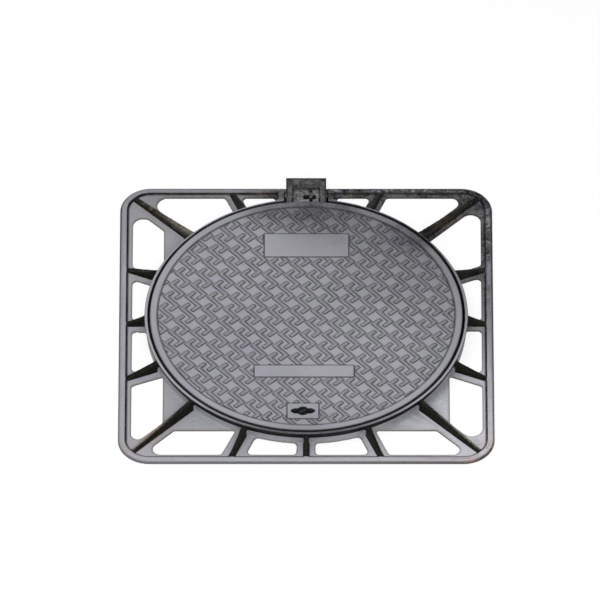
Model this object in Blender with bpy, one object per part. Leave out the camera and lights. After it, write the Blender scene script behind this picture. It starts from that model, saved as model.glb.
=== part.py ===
"""Hinged manhole cover set: square ribbed frame, round cover, rear hinge, quarter-turn lock.

Blender 4.5, metres, +Z up.  The origin is the centre of the frame on its underside.
The hinge is at the back (+Y), the lock and its keyhole are at the front (-Y).
Every separate piece of the product is one object.
"""
import math

import bpy
import bmesh
from mathutils import Matrix

for old_object in list(bpy.data.objects):
    bpy.data.objects.remove(old_object, do_unlink=True)

# ------------------------------------------------------------ shared dimensions
GAP = 0.0003                # clearance between neighbouring pieces
TOP_Z = 0.036               # road level: ring lip, cover band and pads
CUT_TOP_Z = 0.050           # upper end of the cutters that open upwards
ROUND_SEG = 96              # segments of the large turned shapes

FRAME_HALF = 0.400          # half the side of the square base
FRAME_CORNER_R = 0.067
CORNER_SEG = 8
BASE_T = 0.005              # base plate thickness
BEAD_W = 0.0165             # raised bead round the outside
BEAD_Z = 0.009
BEAD_BITE_Z = BEAD_Z - 0.0006   # where ribs and cheeks run into the bead

LEDGE_Z0, LEDGE_Z1 = 0.008, 0.0135
COVER_BOT_Z = 0.0162        # underside of the cover's edge

PIN_Y, PIN_Z, PIN_R = 0.362, 0.0215, 0.006
PIN_SEG = 24
ARM_SPANS = ((-0.0275, 0.0075), (0.0130, 0.0275))   # x ranges of the two hinge arms
BOX_HALF = 0.043
BOX_IN_HALF = 0.030
SCREW_X, SCREW_Y = 0.0365, 0.3932
SCREW_HOLE_R = 0.0034
SCREW_SEG = 18

LOCK_X, LOCK_Y = -0.0070, -0.2775   # the lock sits a little left of the centre line
LOCK_ORIGIN_Z = 0.0100
LOCK_SEG = 28


# ------------------------------------------------------------ materials
def material(name, color, roughness, metallic):
    mat = bpy.data.materials.new(name)
    mat.use_nodes = True
    inputs = mat.node_tree.nodes["Principled BSDF"].inputs
    inputs["Base Color"].default_value = (*color, 1.0)
    inputs["Roughness"].default_value = roughness
    inputs["Metallic"].default_value = metallic
    mat.diffuse_color = (*color, 1.0)
    return mat


FRAME_IRON = material("frame_iron", color=(0.20, 0.20, 0.21), roughness=0.55, metallic=0.35)
COVER_IRON = material("cover_iron", color=(0.30, 0.305, 0.315), roughness=0.50, metallic=0.35)
HINGE_IRON = material("hinge_iron", color=(0.08, 0.08, 0.08), roughness=0.70, metallic=0.30)
STEEL = material("steel", color=(0.55, 0.55, 0.56), roughness=0.35, metallic=0.95)
LOCK_STEEL = material("lock_steel", color=(0.42, 0.42, 0.43), roughness=0.40, metallic=0.90)
RUBBER = material("rubber", color=(0.03, 0.03, 0.03), roughness=0.80, metallic=0.0)
NYLON = material("nylon", color=(0.035, 0.035, 0.035), roughness=0.50, metallic=0.0)


# ------------------------------------------------------------ outlines
def circle(cx, cy, radius, seg):
    return [(cx + radius * math.cos(2 * math.pi * k / seg),
             cy + radius * math.sin(2 * math.pi * k / seg)) for k in range(seg)]


def rect(x0, x1, y0, y1):
    return [(x0, y0), (x1, y0), (x1, y1), (x0, y1)]


def rounded_square(half, radius):
    points = []
    for x_sign, y_sign, start in ((1, 1, 0), (-1, 1, 90), (-1, -1, 180), (1, -1, 270)):
        for k in range(CORNER_SEG + 1):
            angle = math.radians(start + 90.0 * k / CORNER_SEG)
            points.append((x_sign * (half - radius) + radius * math.cos(angle),
                           y_sign * (half - radius) + radius * math.sin(angle)))
    return points


# ------------------------------------------------------------ parts (each a new bmesh)
def prism(outline, low, high, axis="Z"):
    """Closed prism over a counter-clockwise outline.

    axis Z: points are (x, y) and low..high is z.  axis X: points are (y, z), low..high is x.
    """
    def at(point, height):
        return (*point, height) if axis == "Z" else (height, *point)

    bm = bmesh.new()
    bottom = [bm.verts.new(at(p, low)) for p in outline]
    top = [bm.verts.new(at(p, high)) for p in outline]
    bm.faces.new(bottom[::-1])
    bm.faces.new(top)
    for i in range(len(outline)):
        j = (i + 1) % len(outline)
        bm.faces.new((bottom[i], bottom[j], top[j], top[i]))
    return bm


def skin(rings):
    """Join rings of 3D points in turn, the last to the first.  One point makes a pole."""
    bm = bmesh.new()
    rings = [[bm.verts.new(p) for p in ring] for ring in rings]
    for a, b in zip(rings, rings[1:] + rings[:1]):
        count = max(len(a), len(b))
        if count == 1:
            continue
        for k in range(count):
            m = (k + 1) % count
            if len(a) == 1:
                bm.faces.new((a[0], b[k], b[m]))
            elif len(b) == 1:
                bm.faces.new((a[k], a[m], b[0]))
            else:
                bm.faces.new((a[k], a[m], b[m], b[k]))
    return bm


def level(outline, z):
    return [(x, y, z) for x, y in outline]


def lathe(profile, seg):
    """Turn a closed counter-clockwise (radius, z) profile round Z."""
    return skin([level(circle(0, 0, r, seg) if r > 0 else [(0.0, 0.0)], z) for r, z in profile])


def turned(part, angle):
    part.transform(Matrix.Rotation(angle, 4, "Z"))
    return part


# ------------------------------------------------------------ objects
def shade(mesh, sharp_deg):
    mesh.shade_smooth()
    mesh.set_sharp_from_angle(angle=math.radians(sharp_deg))


def build(name, mat, *parts):
    """One object from one or more parts."""
    bm = parts[0]
    for part in parts[1:]:
        carrier = bpy.data.meshes.new("part")
        part.to_mesh(carrier)
        part.free()
        bm.from_mesh(carrier)
        bpy.data.meshes.remove(carrier)
    bmesh.ops.recalc_face_normals(bm, faces=bm.faces[:])
    mesh = bpy.data.meshes.new(name)
    bm.to_mesh(mesh)
    bm.free()
    mesh.materials.append(mat)
    shade(mesh, 40)
    ob = bpy.data.objects.new(name, mesh)
    bpy.context.scene.collection.objects.link(ob)
    return ob


def combine(ob, operation, parts):
    """Apply an exact boolean between the object and the parts."""
    cutter = build("tool", ob.data.materials[0], *parts)
    cutter.hide_render = True
    mod = ob.modifiers.new("bool", "BOOLEAN")
    mod.operation = operation
    mod.solver = "EXACT"
    mod.object = cutter
    bpy.context.view_layer.update()
    depsgraph = bpy.context.evaluated_depsgraph_get()
    result = bpy.data.meshes.new_from_object(ob.evaluated_get(depsgraph))
    ob.modifiers.remove(mod)
    before = ob.data
    ob.data = result
    bpy.data.meshes.remove(before)
    bpy.data.objects.remove(cutter, do_unlink=True)


def add(ob, *parts):
    combine(ob, "UNION", parts)


def cut(ob, *parts):
    combine(ob, "DIFFERENCE", parts)


def tidy(ob, dist=2e-5):
    """Merge the tiny edges that the booleans leave and drop loose edges and points."""
    bm = bmesh.new()
    bm.from_mesh(ob.data)
    bmesh.ops.remove_doubles(bm, verts=bm.verts[:], dist=dist)
    bmesh.ops.dissolve_degenerate(bm, edges=bm.edges[:], dist=dist)
    bmesh.ops.delete(bm, geom=[e for e in bm.edges if not e.link_faces], context="EDGES")
    bmesh.ops.delete(bm, geom=[v for v in bm.verts if not v.link_edges], context="VERTS")
    bmesh.ops.recalc_face_normals(bm, faces=bm.faces[:])
    bm.to_mesh(ob.data)
    bm.free()
    shade(ob.data, 35)


def stand(ob, x, y, origin_z):
    """Move an object built round the Z axis to (x, y), with its origin at origin_z."""
    ob.data.transform(Matrix.Translation((0, 0, -origin_z)))
    ob.location = (x, y, origin_z)


def screw_holes(radius, z0, z1, seg):
    """Cutters for the two hinge box screws."""
    return [prism(circle(s * SCREW_X, SCREW_Y, radius, seg), z0, z1) for s in (-1, 1)]


# ------------------------------------------------------------ frame windows
RIB_COUNT = 16              # rib 0 points along +X, counting counter-clockwise
RIB_STEP = 2 * math.pi / RIB_COUNT
HINGE_RIB = RIB_COUNT // 4  # the hinge bay takes the place of this rib
# base strip width beside each rib: (counter-clockwise side, clockwise side)
RIB_FOOT = (
    (0.0150, 0.0160), (0.0180, 0.0145), (0.0165, 0.0140), (0.0150, 0.0170),
    (0.0660, 0.0660), (0.0180, 0.0145), (0.0195, 0.0145), (0.0195, 0.0150),
    (0.0190, 0.0150), (0.0210, 0.0135), (0.0175, 0.0160), (0.0250, 0.0225),
    (0.0200, 0.0205), (0.0190, 0.0185), (0.0145, 0.0200), (0.0130, 0.0205),
)
WINDOW_IN_R = 0.342
WINDOW_OUT_HALF = 0.3745
WINDOW_LEFT = -0.3715       # the strip inside the left bead is a little wider
INNER_SQUARE_HALF = 0.3055
PLATE_WINDOWS = (6, 9, 10, 13, 14)  # the base plate fills their inner corner to the inner square
WINDOW_STEPS = 30
WINDOW_CORNER_R = 0.009
TIP_FROM_R = 0.46           # corners this far out are tips, with a radius for each window
WINDOW_TIP_R = {1: 0.0210, 2: 0.0168, 5: 0.0240, 6: 0.0214,
                9: 0.0135, 10: 0.0170, 13: 0.0142, 14: 0.0230}


def square_radius(half, corner_r, angle):
    """Distance from the centre to a rounded square, in direction angle."""
    c, s = abs(math.cos(angle)), abs(math.sin(angle))
    flat = half / max(c, s)
    if min(c, s) * flat <= half - corner_r:
        return flat
    k = half - corner_r     # the corner arc is centred on (k, k)
    b = k * (c + s)
    return b + math.sqrt(max(0.0, b * b - (2 * k * k - corner_r * corner_r)))


def clip(outline, nx, ny, offset):
    """Keep the side of the line where nx*x + ny*y >= offset."""
    kept = []
    for i, p in enumerate(outline):
        q = outline[(i + 1) % len(outline)]
        p_side = nx * p[0] + ny * p[1] - offset
        q_side = nx * q[0] + ny * q[1] - offset
        if p_side >= 0:
            kept.append(p)
        if (p_side >= 0) != (q_side >= 0):
            u = p_side / (p_side - q_side)
            kept.append((p[0] + u * (q[0] - p[0]), p[1] + u * (q[1] - p[1])))
    return kept


def clip_beside_rib(outline, rib, side):
    """Keep the outline off a rib's foot.  side is 1 for counter-clockwise, -1 for clockwise."""
    angle = rib * RIB_STEP
    foot = RIB_FOOT[rib % RIB_COUNT][0 if side > 0 else 1]
    return clip(outline, -side * math.sin(angle), side * math.cos(angle), foot)


def turn(a, b, c):
    """Signed change of direction at b on the way from a to c."""
    v = (b[0] - a[0], b[1] - a[1])
    w = (c[0] - b[0], c[1] - b[1])
    return math.atan2(v[0] * w[1] - v[1] * w[0], v[0] * w[0] + v[1] * w[1])


def simplify(outline, straight_deg=1.5, min_len=0.002):
    """Drop points closer than min_len and points on straight runs."""
    spaced = []
    for p in outline:
        if not spaced or math.dist(p, spaced[-1]) > min_len:
            spaced.append(p)
    if math.dist(spaced[0], spaced[-1]) < min_len:
        spaced.pop()
    return [p for i, p in enumerate(spaced)
            if math.degrees(abs(turn(spaced[i - 1], p, spaced[(i + 1) % len(spaced)])))
            > straight_deg]


def fillet(outline, tip_r, seg=4, sharp_deg=28.0):
    """Round the sharp corners, as far as the edges beside them allow."""
    rounded = []
    for i, corner in enumerate(outline):
        before, after = outline[i - 1], outline[(i + 1) % len(outline)]
        bend = turn(before, corner, after)
        if abs(math.degrees(bend)) < sharp_deg:
            rounded.append(corner)
            continue
        len_in, len_out = math.dist(before, corner), math.dist(after, corner)
        radius = WINDOW_CORNER_R if math.hypot(*corner) < TIP_FROM_R else tip_r
        half_tan = math.tan(abs(bend) / 2)
        reach = 0.62 if abs(math.degrees(bend)) > 100.0 else 0.45   # usable share of an edge
        setback = min(radius * half_tan, reach * len_in, reach * len_out)
        radius = setback / half_tan
        u = ((before[0] - corner[0]) / len_in, (before[1] - corner[1]) / len_in)
        w = ((after[0] - corner[0]) / len_out, (after[1] - corner[1]) / len_out)
        start = (corner[0] + u[0] * setback, corner[1] + u[1] * setback)
        bisector = (u[0] + w[0], u[1] + w[1])
        scale = math.hypot(radius, setback) / math.hypot(*bisector)
        cx, cy = corner[0] + bisector[0] * scale, corner[1] + bisector[1] * scale
        start_angle = math.atan2(start[1] - cy, start[0] - cx)
        for k in range(seg + 1):
            angle = start_angle + bend * k / seg
            rounded.append((cx + radius * math.cos(angle), cy + radius * math.sin(angle)))
    return rounded


def window_outline(i):
    """Outline of the hole in the base plate between rib i and rib i + 1."""
    outer, inner = [], []
    for k in range(WINDOW_STEPS + 1):
        angle = i * RIB_STEP + RIB_STEP * k / WINDOW_STEPS
        r_out = square_radius(WINDOW_OUT_HALF, 0.0, angle)
        r_in = WINDOW_IN_R
        if i in PLATE_WINDOWS:
            r_in = max(r_in, square_radius(INNER_SQUARE_HALF, 0.0, angle))
        outer.append((r_out * math.cos(angle), r_out * math.sin(angle)))
        inner.append((r_in * math.cos(angle), r_in * math.sin(angle)))
    outline = clip_beside_rib(outer + inner[::-1], i, 1)
    outline = clip_beside_rib(outline, i + 1, -1)
    outline = clip(outline, 1.0, 0.0, WINDOW_LEFT)
    return fillet(simplify(outline), WINDOW_TIP_R.get(i))


# ------------------------------------------------------------ frame casting
PLATE_INSET = 0.0080        # the plate's edge lies under the bead
PLATE_HOLE_R = 0.322
PLATE_OVERCUT = 0.004
# (inset from the frame's edge, z): sloped outer face, flat top, upright inner face
BEAD_SECTION = [
    (0.0, 0.0), (0.0, 0.0040), (0.0016, 0.0072), (0.0048, BEAD_Z), (0.0154, BEAD_Z),
    (BEAD_W, BEAD_Z - 0.0010), (BEAD_W, 0.0),
]
# (radius, z) of the seat ring: lower skirt, outer face, lip, seat wall and ledge
RING_PROFILE = [
    (0.316, 0.0), (0.3275, 0.0), (0.3275, 0.0070), (0.3370, 0.0096), (0.3396, 0.0130),
    (0.341, 0.0195), (0.341, 0.0300), (0.3455, 0.0318), (0.3455, 0.0350), (0.3445, TOP_Z),
    (0.3384, TOP_Z), (0.3354, LEDGE_Z1), (0.300, LEDGE_Z1), (0.300, LEDGE_Z0),
    (0.316, LEDGE_Z0),
]
RIB_T = 0.0110
RIB_IN_R = 0.338
RIB_TOP_Z = 0.0310
RIB_LOW_Z = 0.0025          # ribs and cheeks start inside the base plate
BAY_HALF = 0.047
BAY_CHEEK_T = 0.013
# (y, z) of the cheeks beside the hinge bay
BAY_CHEEK = [(0.3345, RIB_LOW_Z), (0.388, RIB_LOW_Z), (0.388, BEAD_BITE_Z), (0.366, 0.0352),
             (0.3345, 0.0352)]
# (half width, y0, y1, z0) of the cuts that open the hinge bay, front to back
BAY_CUTS = (
    (BAY_HALF, 0.3300, 0.3520, LEDGE_Z1 + 0.0001),
    (BAY_HALF, 0.3400, 0.3840, BASE_T),
    (BOX_HALF + 0.0005, 0.3750, 0.4100, BASE_T),
)


def frame_rib(i):
    """Radial rib, tall at the ring and falling to the bead."""
    angle = i * RIB_STEP
    out_r = square_radius(FRAME_HALF - BEAD_W, FRAME_CORNER_R - BEAD_W, angle) + 0.005
    profile = [(RIB_IN_R, RIB_LOW_Z), (out_r, RIB_LOW_Z), (out_r, BEAD_BITE_Z),
               (0.3445, RIB_TOP_Z), (RIB_IN_R, RIB_TOP_Z)]
    return turned(prism(profile, -RIB_T / 2, RIB_T / 2, "X"), angle - math.pi / 2)


def make_frame():
    plate = rounded_square(FRAME_HALF - PLATE_INSET, FRAME_CORNER_R - PLATE_INSET)
    frame = build("frame_casting", FRAME_IRON, prism(plate, 0.0, BASE_T))
    hole_z = (-PLATE_OVERCUT, BASE_T + PLATE_OVERCUT)
    cut(frame, *[prism(window_outline(i), *hole_z) for i in range(RIB_COUNT)])
    cut(frame, prism(circle(0, 0, PLATE_HOLE_R, ROUND_SEG), *hole_z))
    add(frame, skin([level(rounded_square(FRAME_HALF - inset, FRAME_CORNER_R - inset), z)
                     for inset, z in BEAD_SECTION]))
    add(frame, lathe(RING_PROFILE, ROUND_SEG))
    add(frame, *[frame_rib(i) for i in range(RIB_COUNT) if i != HINGE_RIB])

    cheek_out = BAY_HALF + BAY_CHEEK_T
    add(frame, prism(BAY_CHEEK, BAY_HALF, cheek_out, "X"),
        prism(BAY_CHEEK, -cheek_out, -BAY_HALF, "X"))
    for half, y0, y1, z0 in BAY_CUTS:
        cut(frame, prism(rect(-half, half, y0, y1), z0, CUT_TOP_Z))
    cut(frame, *screw_holes(SCREW_HOLE_R, -0.002, BASE_T + 0.002, seg=16))
    tidy(frame)


# ------------------------------------------------------------ seat gasket
GASKET_R0, GASKET_R1 = 0.3045, 0.3300


def make_gasket():
    profile = rect(GASKET_R0, GASKET_R1, LEDGE_Z1 + GAP, COVER_BOT_Z - GAP)
    build("seat_gasket", RUBBER, lathe(profile, ROUND_SEG))


# ------------------------------------------------------------ hinge box and its screws
BOX_Y0, BOX_Y1 = 0.350, FRAME_HALF
BOX_WALL_Y = 0.3880
BOX_BOT_Z = BASE_T + GAP
BOX_TOP_Z = 0.0385
# (x, y): two cheeks and a back wall, open to the front
BOX_OUTLINE = [
    (-BOX_HALF, BOX_Y0), (-BOX_IN_HALF, BOX_Y0), (-BOX_IN_HALF, BOX_WALL_Y),
    (BOX_IN_HALF, BOX_WALL_Y), (BOX_IN_HALF, BOX_Y0), (BOX_HALF, BOX_Y0),
    (BOX_HALF, BOX_Y1), (-BOX_HALF, BOX_Y1),
]
# (y, z) of the front extension of each cheek
BOX_NOSE = [(0.3352, 0.0142), (0.3530, 0.0142), (0.3530, BOX_TOP_Z), (0.3450, BOX_TOP_Z),
            (0.3352, 0.0300)]
# (y, z): closes in round the arms and leans back, so that the cover can open past upright
BOX_WALL = [
    (0.3885, BOX_BOT_Z), (0.3885, BOX_TOP_Z), (0.3830, BOX_TOP_Z), (0.3771, 0.0176),
    (0.3756, 0.0139), (0.3732, 0.0108), (0.3732, BOX_BOT_Z),
]
BOX_WALL_HALF = BOX_IN_HALF + 0.0002
COUNTERBORE_R, COUNTERBORE_Z = 0.0051, 0.0307

SCREW_HEAD_Z = 0.0310       # underside of the head
# (radius, z)
CAP_SCREW_PROFILE = [
    (0.0, 0.0015), (0.0026, 0.0015), (0.0030, 0.0021), (0.0030, SCREW_HEAD_Z),
    (0.0047, SCREW_HEAD_Z), (0.0047, 0.0362), (0.0042, 0.0368), (0.0, 0.0368),
]
SOCKET_R, SOCKET_Z = 0.0029, 0.0338


def make_hinge_box():
    box = build("hinge_box", HINGE_IRON, prism(BOX_OUTLINE, BOX_BOT_Z, BOX_TOP_Z))
    for s in (-1, 1):
        add(box, prism(BOX_NOSE, *sorted((s * BOX_IN_HALF, s * BOX_HALF)), "X"))
    add(box, prism(BOX_WALL, -BOX_WALL_HALF, BOX_WALL_HALF, "X"))
    cut(box, prism(circle(PIN_Y, PIN_Z, PIN_R + GAP, PIN_SEG), -0.06, 0.06, "X"))
    cut(box, *screw_holes(SCREW_HOLE_R, 0.002, CUT_TOP_Z, SCREW_SEG))
    cut(box, *screw_holes(COUNTERBORE_R, COUNTERBORE_Z, CUT_TOP_Z, SCREW_SEG))
    tidy(box)


def make_cap_screw(name, x):
    """M6 socket cap screw, head sunk in its counterbore."""
    screw = build(name, STEEL, lathe(CAP_SCREW_PROFILE, SCREW_SEG))
    cut(screw, prism(circle(0, 0, SOCKET_R, 6), SOCKET_Z, 0.045))
    tidy(screw)
    stand(screw, x, SCREW_Y, SCREW_HEAD_Z)


# ------------------------------------------------------------ hinge pin and its small parts
GROOVE_X0, GROOVE_X1 = 0.0433, 0.0447   # clip groove
GROOVE_R = 0.0050
PIN_HALF = 0.0455
# (radius, x) of the right half
PIN_PROFILE = [
    (PIN_R, GROOVE_X0), (GROOVE_R, GROOVE_X0), (GROOVE_R, GROOVE_X1), (PIN_R, GROOVE_X1),
    (PIN_R, 0.0449), (0.0052, PIN_HALF), (0.0, PIN_HALF),
]
CLIP_R, CLIP_X = (0.0053, 0.0086), (0.0436, 0.0444)
WASHER_R = (0.0064, 0.0120)
SPACER_R = (0.0064, 0.0090)


def on_pin(name, mat, profile):
    """Turned piece on the pin axis, from a (radius, x) profile."""
    part = lathe(profile, PIN_SEG)
    part.transform(Matrix.Rotation(math.pi / 2, 4, "Y"))
    build(name, mat, part).location = (0, PIN_Y, PIN_Z)


def make_pin_parts():
    left_half = [(r, -x) for r, x in reversed(PIN_PROFILE)]
    on_pin("hinge_pin", STEEL, left_half + PIN_PROFILE)
    washer_x = (ARM_SPANS[1][1] + GAP, BOX_IN_HALF - GAP)
    for side, s in (("left", -1), ("right", 1)):
        on_pin("pin_clip_" + side, STEEL, rect(*CLIP_R, *sorted(s * x for x in CLIP_X)))
        on_pin("thrust_washer_" + side, NYLON, rect(*WASHER_R, *sorted(s * x for x in washer_x)))
    on_pin("pin_spacer", STEEL, rect(*SPACER_R, ARM_SPANS[0][1] + GAP, ARM_SPANS[1][0] - GAP))


# ------------------------------------------------------------ cover casting
COVER_TOP_R = 0.3338
COVER_BOT_R = 0.3310
BAND_IN_R = 0.318           # inner edge of the smooth band
FIELD_Z = 0.033             # level of the field inside the band
# (radius, z): thin plate with a deeper edge
COVER_PROFILE = [
    (0.0, 0.0250), (0.3050, 0.0250), (0.3065, COVER_BOT_Z), (COVER_BOT_R, COVER_BOT_Z),
    (COVER_TOP_R, 0.0346), (COVER_TOP_R - 0.0012, TOP_Z), (BAND_IN_R, TOP_Z),
    (BAND_IN_R - 0.0006, FIELD_Z), (0.0, FIELD_Z),
]
# (x0, x1, y0, y1) of the raised pads: back, front, lock
PADS = (
    (-0.0895, 0.0910, 0.1710, 0.2384),
    (-0.1105, 0.1015, -0.1791, -0.1454),
    (LOCK_X - 0.0335, LOCK_X + 0.0335, -0.2995, -0.2556),
)
PAD_LOW_Z = 0.0290

STIFFENER_RING = rect(0.1700, 0.1790, 0.0090, 0.0270)   # (radius, z)
# (radius, z) of each stiffening rib
STIFFENER_RIB = [
    (0.0300, 0.0090), (0.2000, 0.0090), (0.2400, 0.0155), (0.2950, 0.0185),
    (0.3080, 0.0185), (0.3080, 0.0270), (0.0300, 0.0270),
]
STIFFENER_HALF_T = 0.0045
HUB_R = 0.042
BOSS_R = 0.0160             # round boss for the lock barrel
BOSS_HALF_X, BOSS_HALF_Y = 0.0315, 0.0130   # block under the keyhole

ARM_R = 0.0145
ARM_ROOT_Y = 0.3200
ARM_ARC = (math.radians(189.93), math.radians(450))
ARM_STEPS = 16

KEY_END_X = 0.0207          # centres of the slot's rounded ends, from the lock axis
KEY_END_RX, KEY_END_RY = 0.0055, 0.0075
KEY_END_STEPS = 6
# (radius, z0, z1): round centre of the keyhole, then the bore for the lock barrel
LOCK_BORES = ((0.0125, 0.0230, 0.0450), (0.0110, 0.0050, 0.0240))


def arm_outline():
    """(y, z) outline of a hinge arm, round about the pin."""
    points = [(ARM_ROOT_Y, 0.0190)]
    start, end = ARM_ARC
    for k in range(ARM_STEPS + 1):
        angle = start + (end - start) * k / ARM_STEPS
        points.append((PIN_Y + ARM_R * math.cos(angle), PIN_Z + ARM_R * math.sin(angle)))
    return points + [(ARM_ROOT_Y, TOP_Z - 0.0001)]


def key_slot():
    points = []
    for end_x, start in ((KEY_END_X, -90), (-KEY_END_X, 90)):
        for k in range(KEY_END_STEPS + 1):
            angle = math.radians(start + 180.0 * k / KEY_END_STEPS)
            points.append((LOCK_X + end_x + KEY_END_RX * math.cos(angle),
                           LOCK_Y + KEY_END_RY * math.sin(angle)))
    return points


def make_cover():
    cover = build("cover_casting", COVER_IRON, lathe(COVER_PROFILE, ROUND_SEG))
    add(cover, *[prism(rect(*pad), PAD_LOW_Z, TOP_Z) for pad in PADS])

    # underside: ring, eight radial ribs, hub, and the lock's boss and block
    add(cover, lathe(STIFFENER_RING, 64))
    add(cover, *[turned(prism(STIFFENER_RIB, -STIFFENER_HALF_T, STIFFENER_HALF_T, "X"),
                        i * math.pi / 4) for i in range(8)])
    add(cover, prism(circle(0, 0, HUB_R, 32), 0.0075, 0.0275))
    add(cover, prism(circle(LOCK_X, LOCK_Y, BOSS_R, 32), 0.0122, 0.0280))
    add(cover, prism(rect(LOCK_X - BOSS_HALF_X, LOCK_X + BOSS_HALF_X,
                          LOCK_Y - BOSS_HALF_Y, LOCK_Y + BOSS_HALF_Y), 0.0195, 0.0285))

    # hinge arms, a shallow notch across the slot between them, and the pin bore
    add(cover, *[prism(arm_outline(), *span, "X") for span in ARM_SPANS])
    cut(cover, prism(rect(-0.0060, 0.0205, 0.3410, 0.3520), 0.0310, CUT_TOP_Z))
    cut(cover, prism(circle(PIN_Y, PIN_Z, PIN_R + GAP, PIN_SEG), -0.035, 0.035, "X"))

    cut(cover, prism(key_slot(), 0.0270, 0.0450))
    for radius, z0, z1 in LOCK_BORES:
        cut(cover, prism(circle(LOCK_X, LOCK_Y, radius, 32), z0, z1))
    tidy(cover)


# ------------------------------------------------------------ lock
# profiles are (radius, z)
BARREL_PROFILE = [
    (0.0063, 0.0083), (0.0107, 0.0083), (0.0107, 0.0246), (0.0121, 0.0246),
    (0.0121, 0.0264), (0.0114, 0.0270), (0.0063, 0.0270),
]
SEAL_PROFILE = rect(0.0112, 0.0122, 0.0233, 0.0243)
NUT_R, NUT_BORE_R = 0.0150, 0.0110
NUT_Z0, NUT_Z1 = 0.0087, 0.0119
SPINDLE_PROFILE = [
    (0.0, 0.0076), (0.0060, 0.0076), (0.0060, 0.0290), (0.0098, 0.0290),
    (0.0098, 0.0308), (0.0092, 0.0314), (0.0, 0.0314),
]
DRIVE_BAR = rect(-0.0085, 0.0085, -0.0028, 0.0028)
DRIVE_BAR_ANGLE = math.radians(35)
SPINDLE_SQUARE = rect(-0.0042, 0.0042, -0.0042, 0.0042)
TAPPED_R = 0.0033
WAVE_SECTION = rect(0.0065, 0.0096, 0.0, 0.0006)    # (radius, height)
WAVE_Z, WAVE_LIFT, WAVE_COUNT, WAVE_SEG = 0.0277, 0.0004, 3, 36
# (x, y) from the lock axis: at rest the cam points along -X, clear of the ledge;
# a quarter turn puts it under the ledge
CAM_OUTLINE = [
    (-0.0350, -0.0050), (-0.0320, -0.0080), (0.0030, -0.0105), (0.0080, -0.0075),
    (0.0105, 0.0), (0.0080, 0.0075), (0.0030, 0.0105), (-0.0320, 0.0080),
    (-0.0350, 0.0050),
]
CAM_SQUARE = rect(-0.0045, 0.0045, -0.0045, 0.0045)
CAM_WASHER_PROFILE = rect(0.0034, 0.0080, 0.0026, 0.0033)


def on_lock(ob, origin_z=LOCK_ORIGIN_Z):
    stand(ob, LOCK_X, LOCK_Y, origin_z)


def make_barrel_parts():
    on_lock(build("lock_barrel", LOCK_STEEL, lathe(BARREL_PROFILE, LOCK_SEG)))
    on_lock(build("barrel_seal", RUBBER, lathe(SEAL_PROFILE, LOCK_SEG)))


def make_nut():
    """Hexagon nut, with four steps to each flat to match its 24-sided bore."""
    corners = circle(0, 0, NUT_R, 6)
    outer = []
    for (x0, y0), (x1, y1) in zip(corners, corners[1:] + corners[:1]):
        for step in range(4):
            u = step / 4
            outer.append((x0 * (1 - u) + x1 * u, y0 * (1 - u) + y1 * u))
    bore = circle(0, 0, NUT_BORE_R, 24)
    nut = skin([level(outer, NUT_Z0), level(outer, NUT_Z1), level(bore, NUT_Z1),
                level(bore, NUT_Z0)])
    on_lock(build("barrel_nut", STEEL, nut), NUT_Z0)


def make_spindle():
    """Shank and collar, drive bar in the keyhole, square end for the cam, tapped from below."""
    spindle = build("lock_spindle", LOCK_STEEL, lathe(SPINDLE_PROFILE, LOCK_SEG))
    add(spindle, turned(prism(DRIVE_BAR, 0.0300, 0.0348), DRIVE_BAR_ANGLE))
    add(spindle, prism(SPINDLE_SQUARE, 0.0037, 0.0085))
    cut(spindle, prism(circle(0, 0, TAPPED_R, 12), 0.0, 0.0150))
    tidy(spindle)
    on_lock(spindle)


def make_wave_spring():
    """Wave washer that keeps the spindle from rattling."""
    rings = [[(x, y, WAVE_Z + WAVE_LIFT * math.cos(WAVE_COUNT * 2 * math.pi * k / WAVE_SEG) + dz)
              for k, (x, y) in enumerate(circle(0, 0, r, WAVE_SEG))] for r, dz in WAVE_SECTION]
    on_lock(build("wave_spring", STEEL, skin(rings)))


def make_cam():
    cam = build("lock_cam", STEEL, prism(CAM_OUTLINE, 0.0036, 0.0072))
    cut(cam, prism(CAM_SQUARE, 0.0, 0.02))
    tidy(cam)
    on_lock(cam)


def make_cam_screw():
    """Washer and hexagon screw that hold the cam from below."""
    on_lock(build("cam_washer", STEEL, lathe(CAM_WASHER_PROFILE, 24)))
    screw = build("cam_screw", STEEL, prism(circle(0, 0, 0.0058, 6), 0.0004, 0.0023))
    add(screw, prism(circle(0, 0, 0.0030, 12), 0.0015, 0.0135))
    tidy(screw)
    on_lock(screw)


# ------------------------------------------------------------ joint axes
HINGE_MOVES = ("lock_axis", "cover_casting", "lock_barrel", "barrel_seal", "barrel_nut")
LOCK_MOVES = ("lock_spindle", "wave_spring", "lock_cam", "cam_washer", "cam_screw")


def make_axis(name, location):
    axis = bpy.data.objects.new(name, None)
    axis.location = location
    bpy.context.scene.collection.objects.link(axis)
    return axis


def attach(names, axis):
    """Parent the named objects to an axis and keep them where they are."""
    bpy.context.view_layer.update()
    for name in names:
        ob = bpy.data.objects[name]
        ob.parent = axis
        ob.matrix_parent_inverse = axis.matrix_world.inverted()


make_frame()
make_gasket()
make_hinge_box()
make_cap_screw("hinge_box_screw_left", -SCREW_X)
make_cap_screw("hinge_box_screw_right", SCREW_X)
make_pin_parts()
make_cover()
make_barrel_parts()
make_nut()
make_spindle()
make_wave_spring()
make_cam()
make_cam_screw()
hinge_axis = make_axis("hinge_axis", (0, PIN_Y, PIN_Z))
lock_axis = make_axis("lock_axis", (LOCK_X, LOCK_Y, LOCK_ORIGIN_Z))
attach(HINGE_MOVES, hinge_axis)
attach(LOCK_MOVES, lock_axis)
bpy.context.view_layer.update()
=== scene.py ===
"""Looks for the hinged manhole cover: cast surfaces, tread, paint, rust, light and camera."""

import math

import bpy
import bmesh
import numpy as np
from mathutils import Matrix, Vector
from mathutils.geometry import delaunay_2d_cdt


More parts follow.
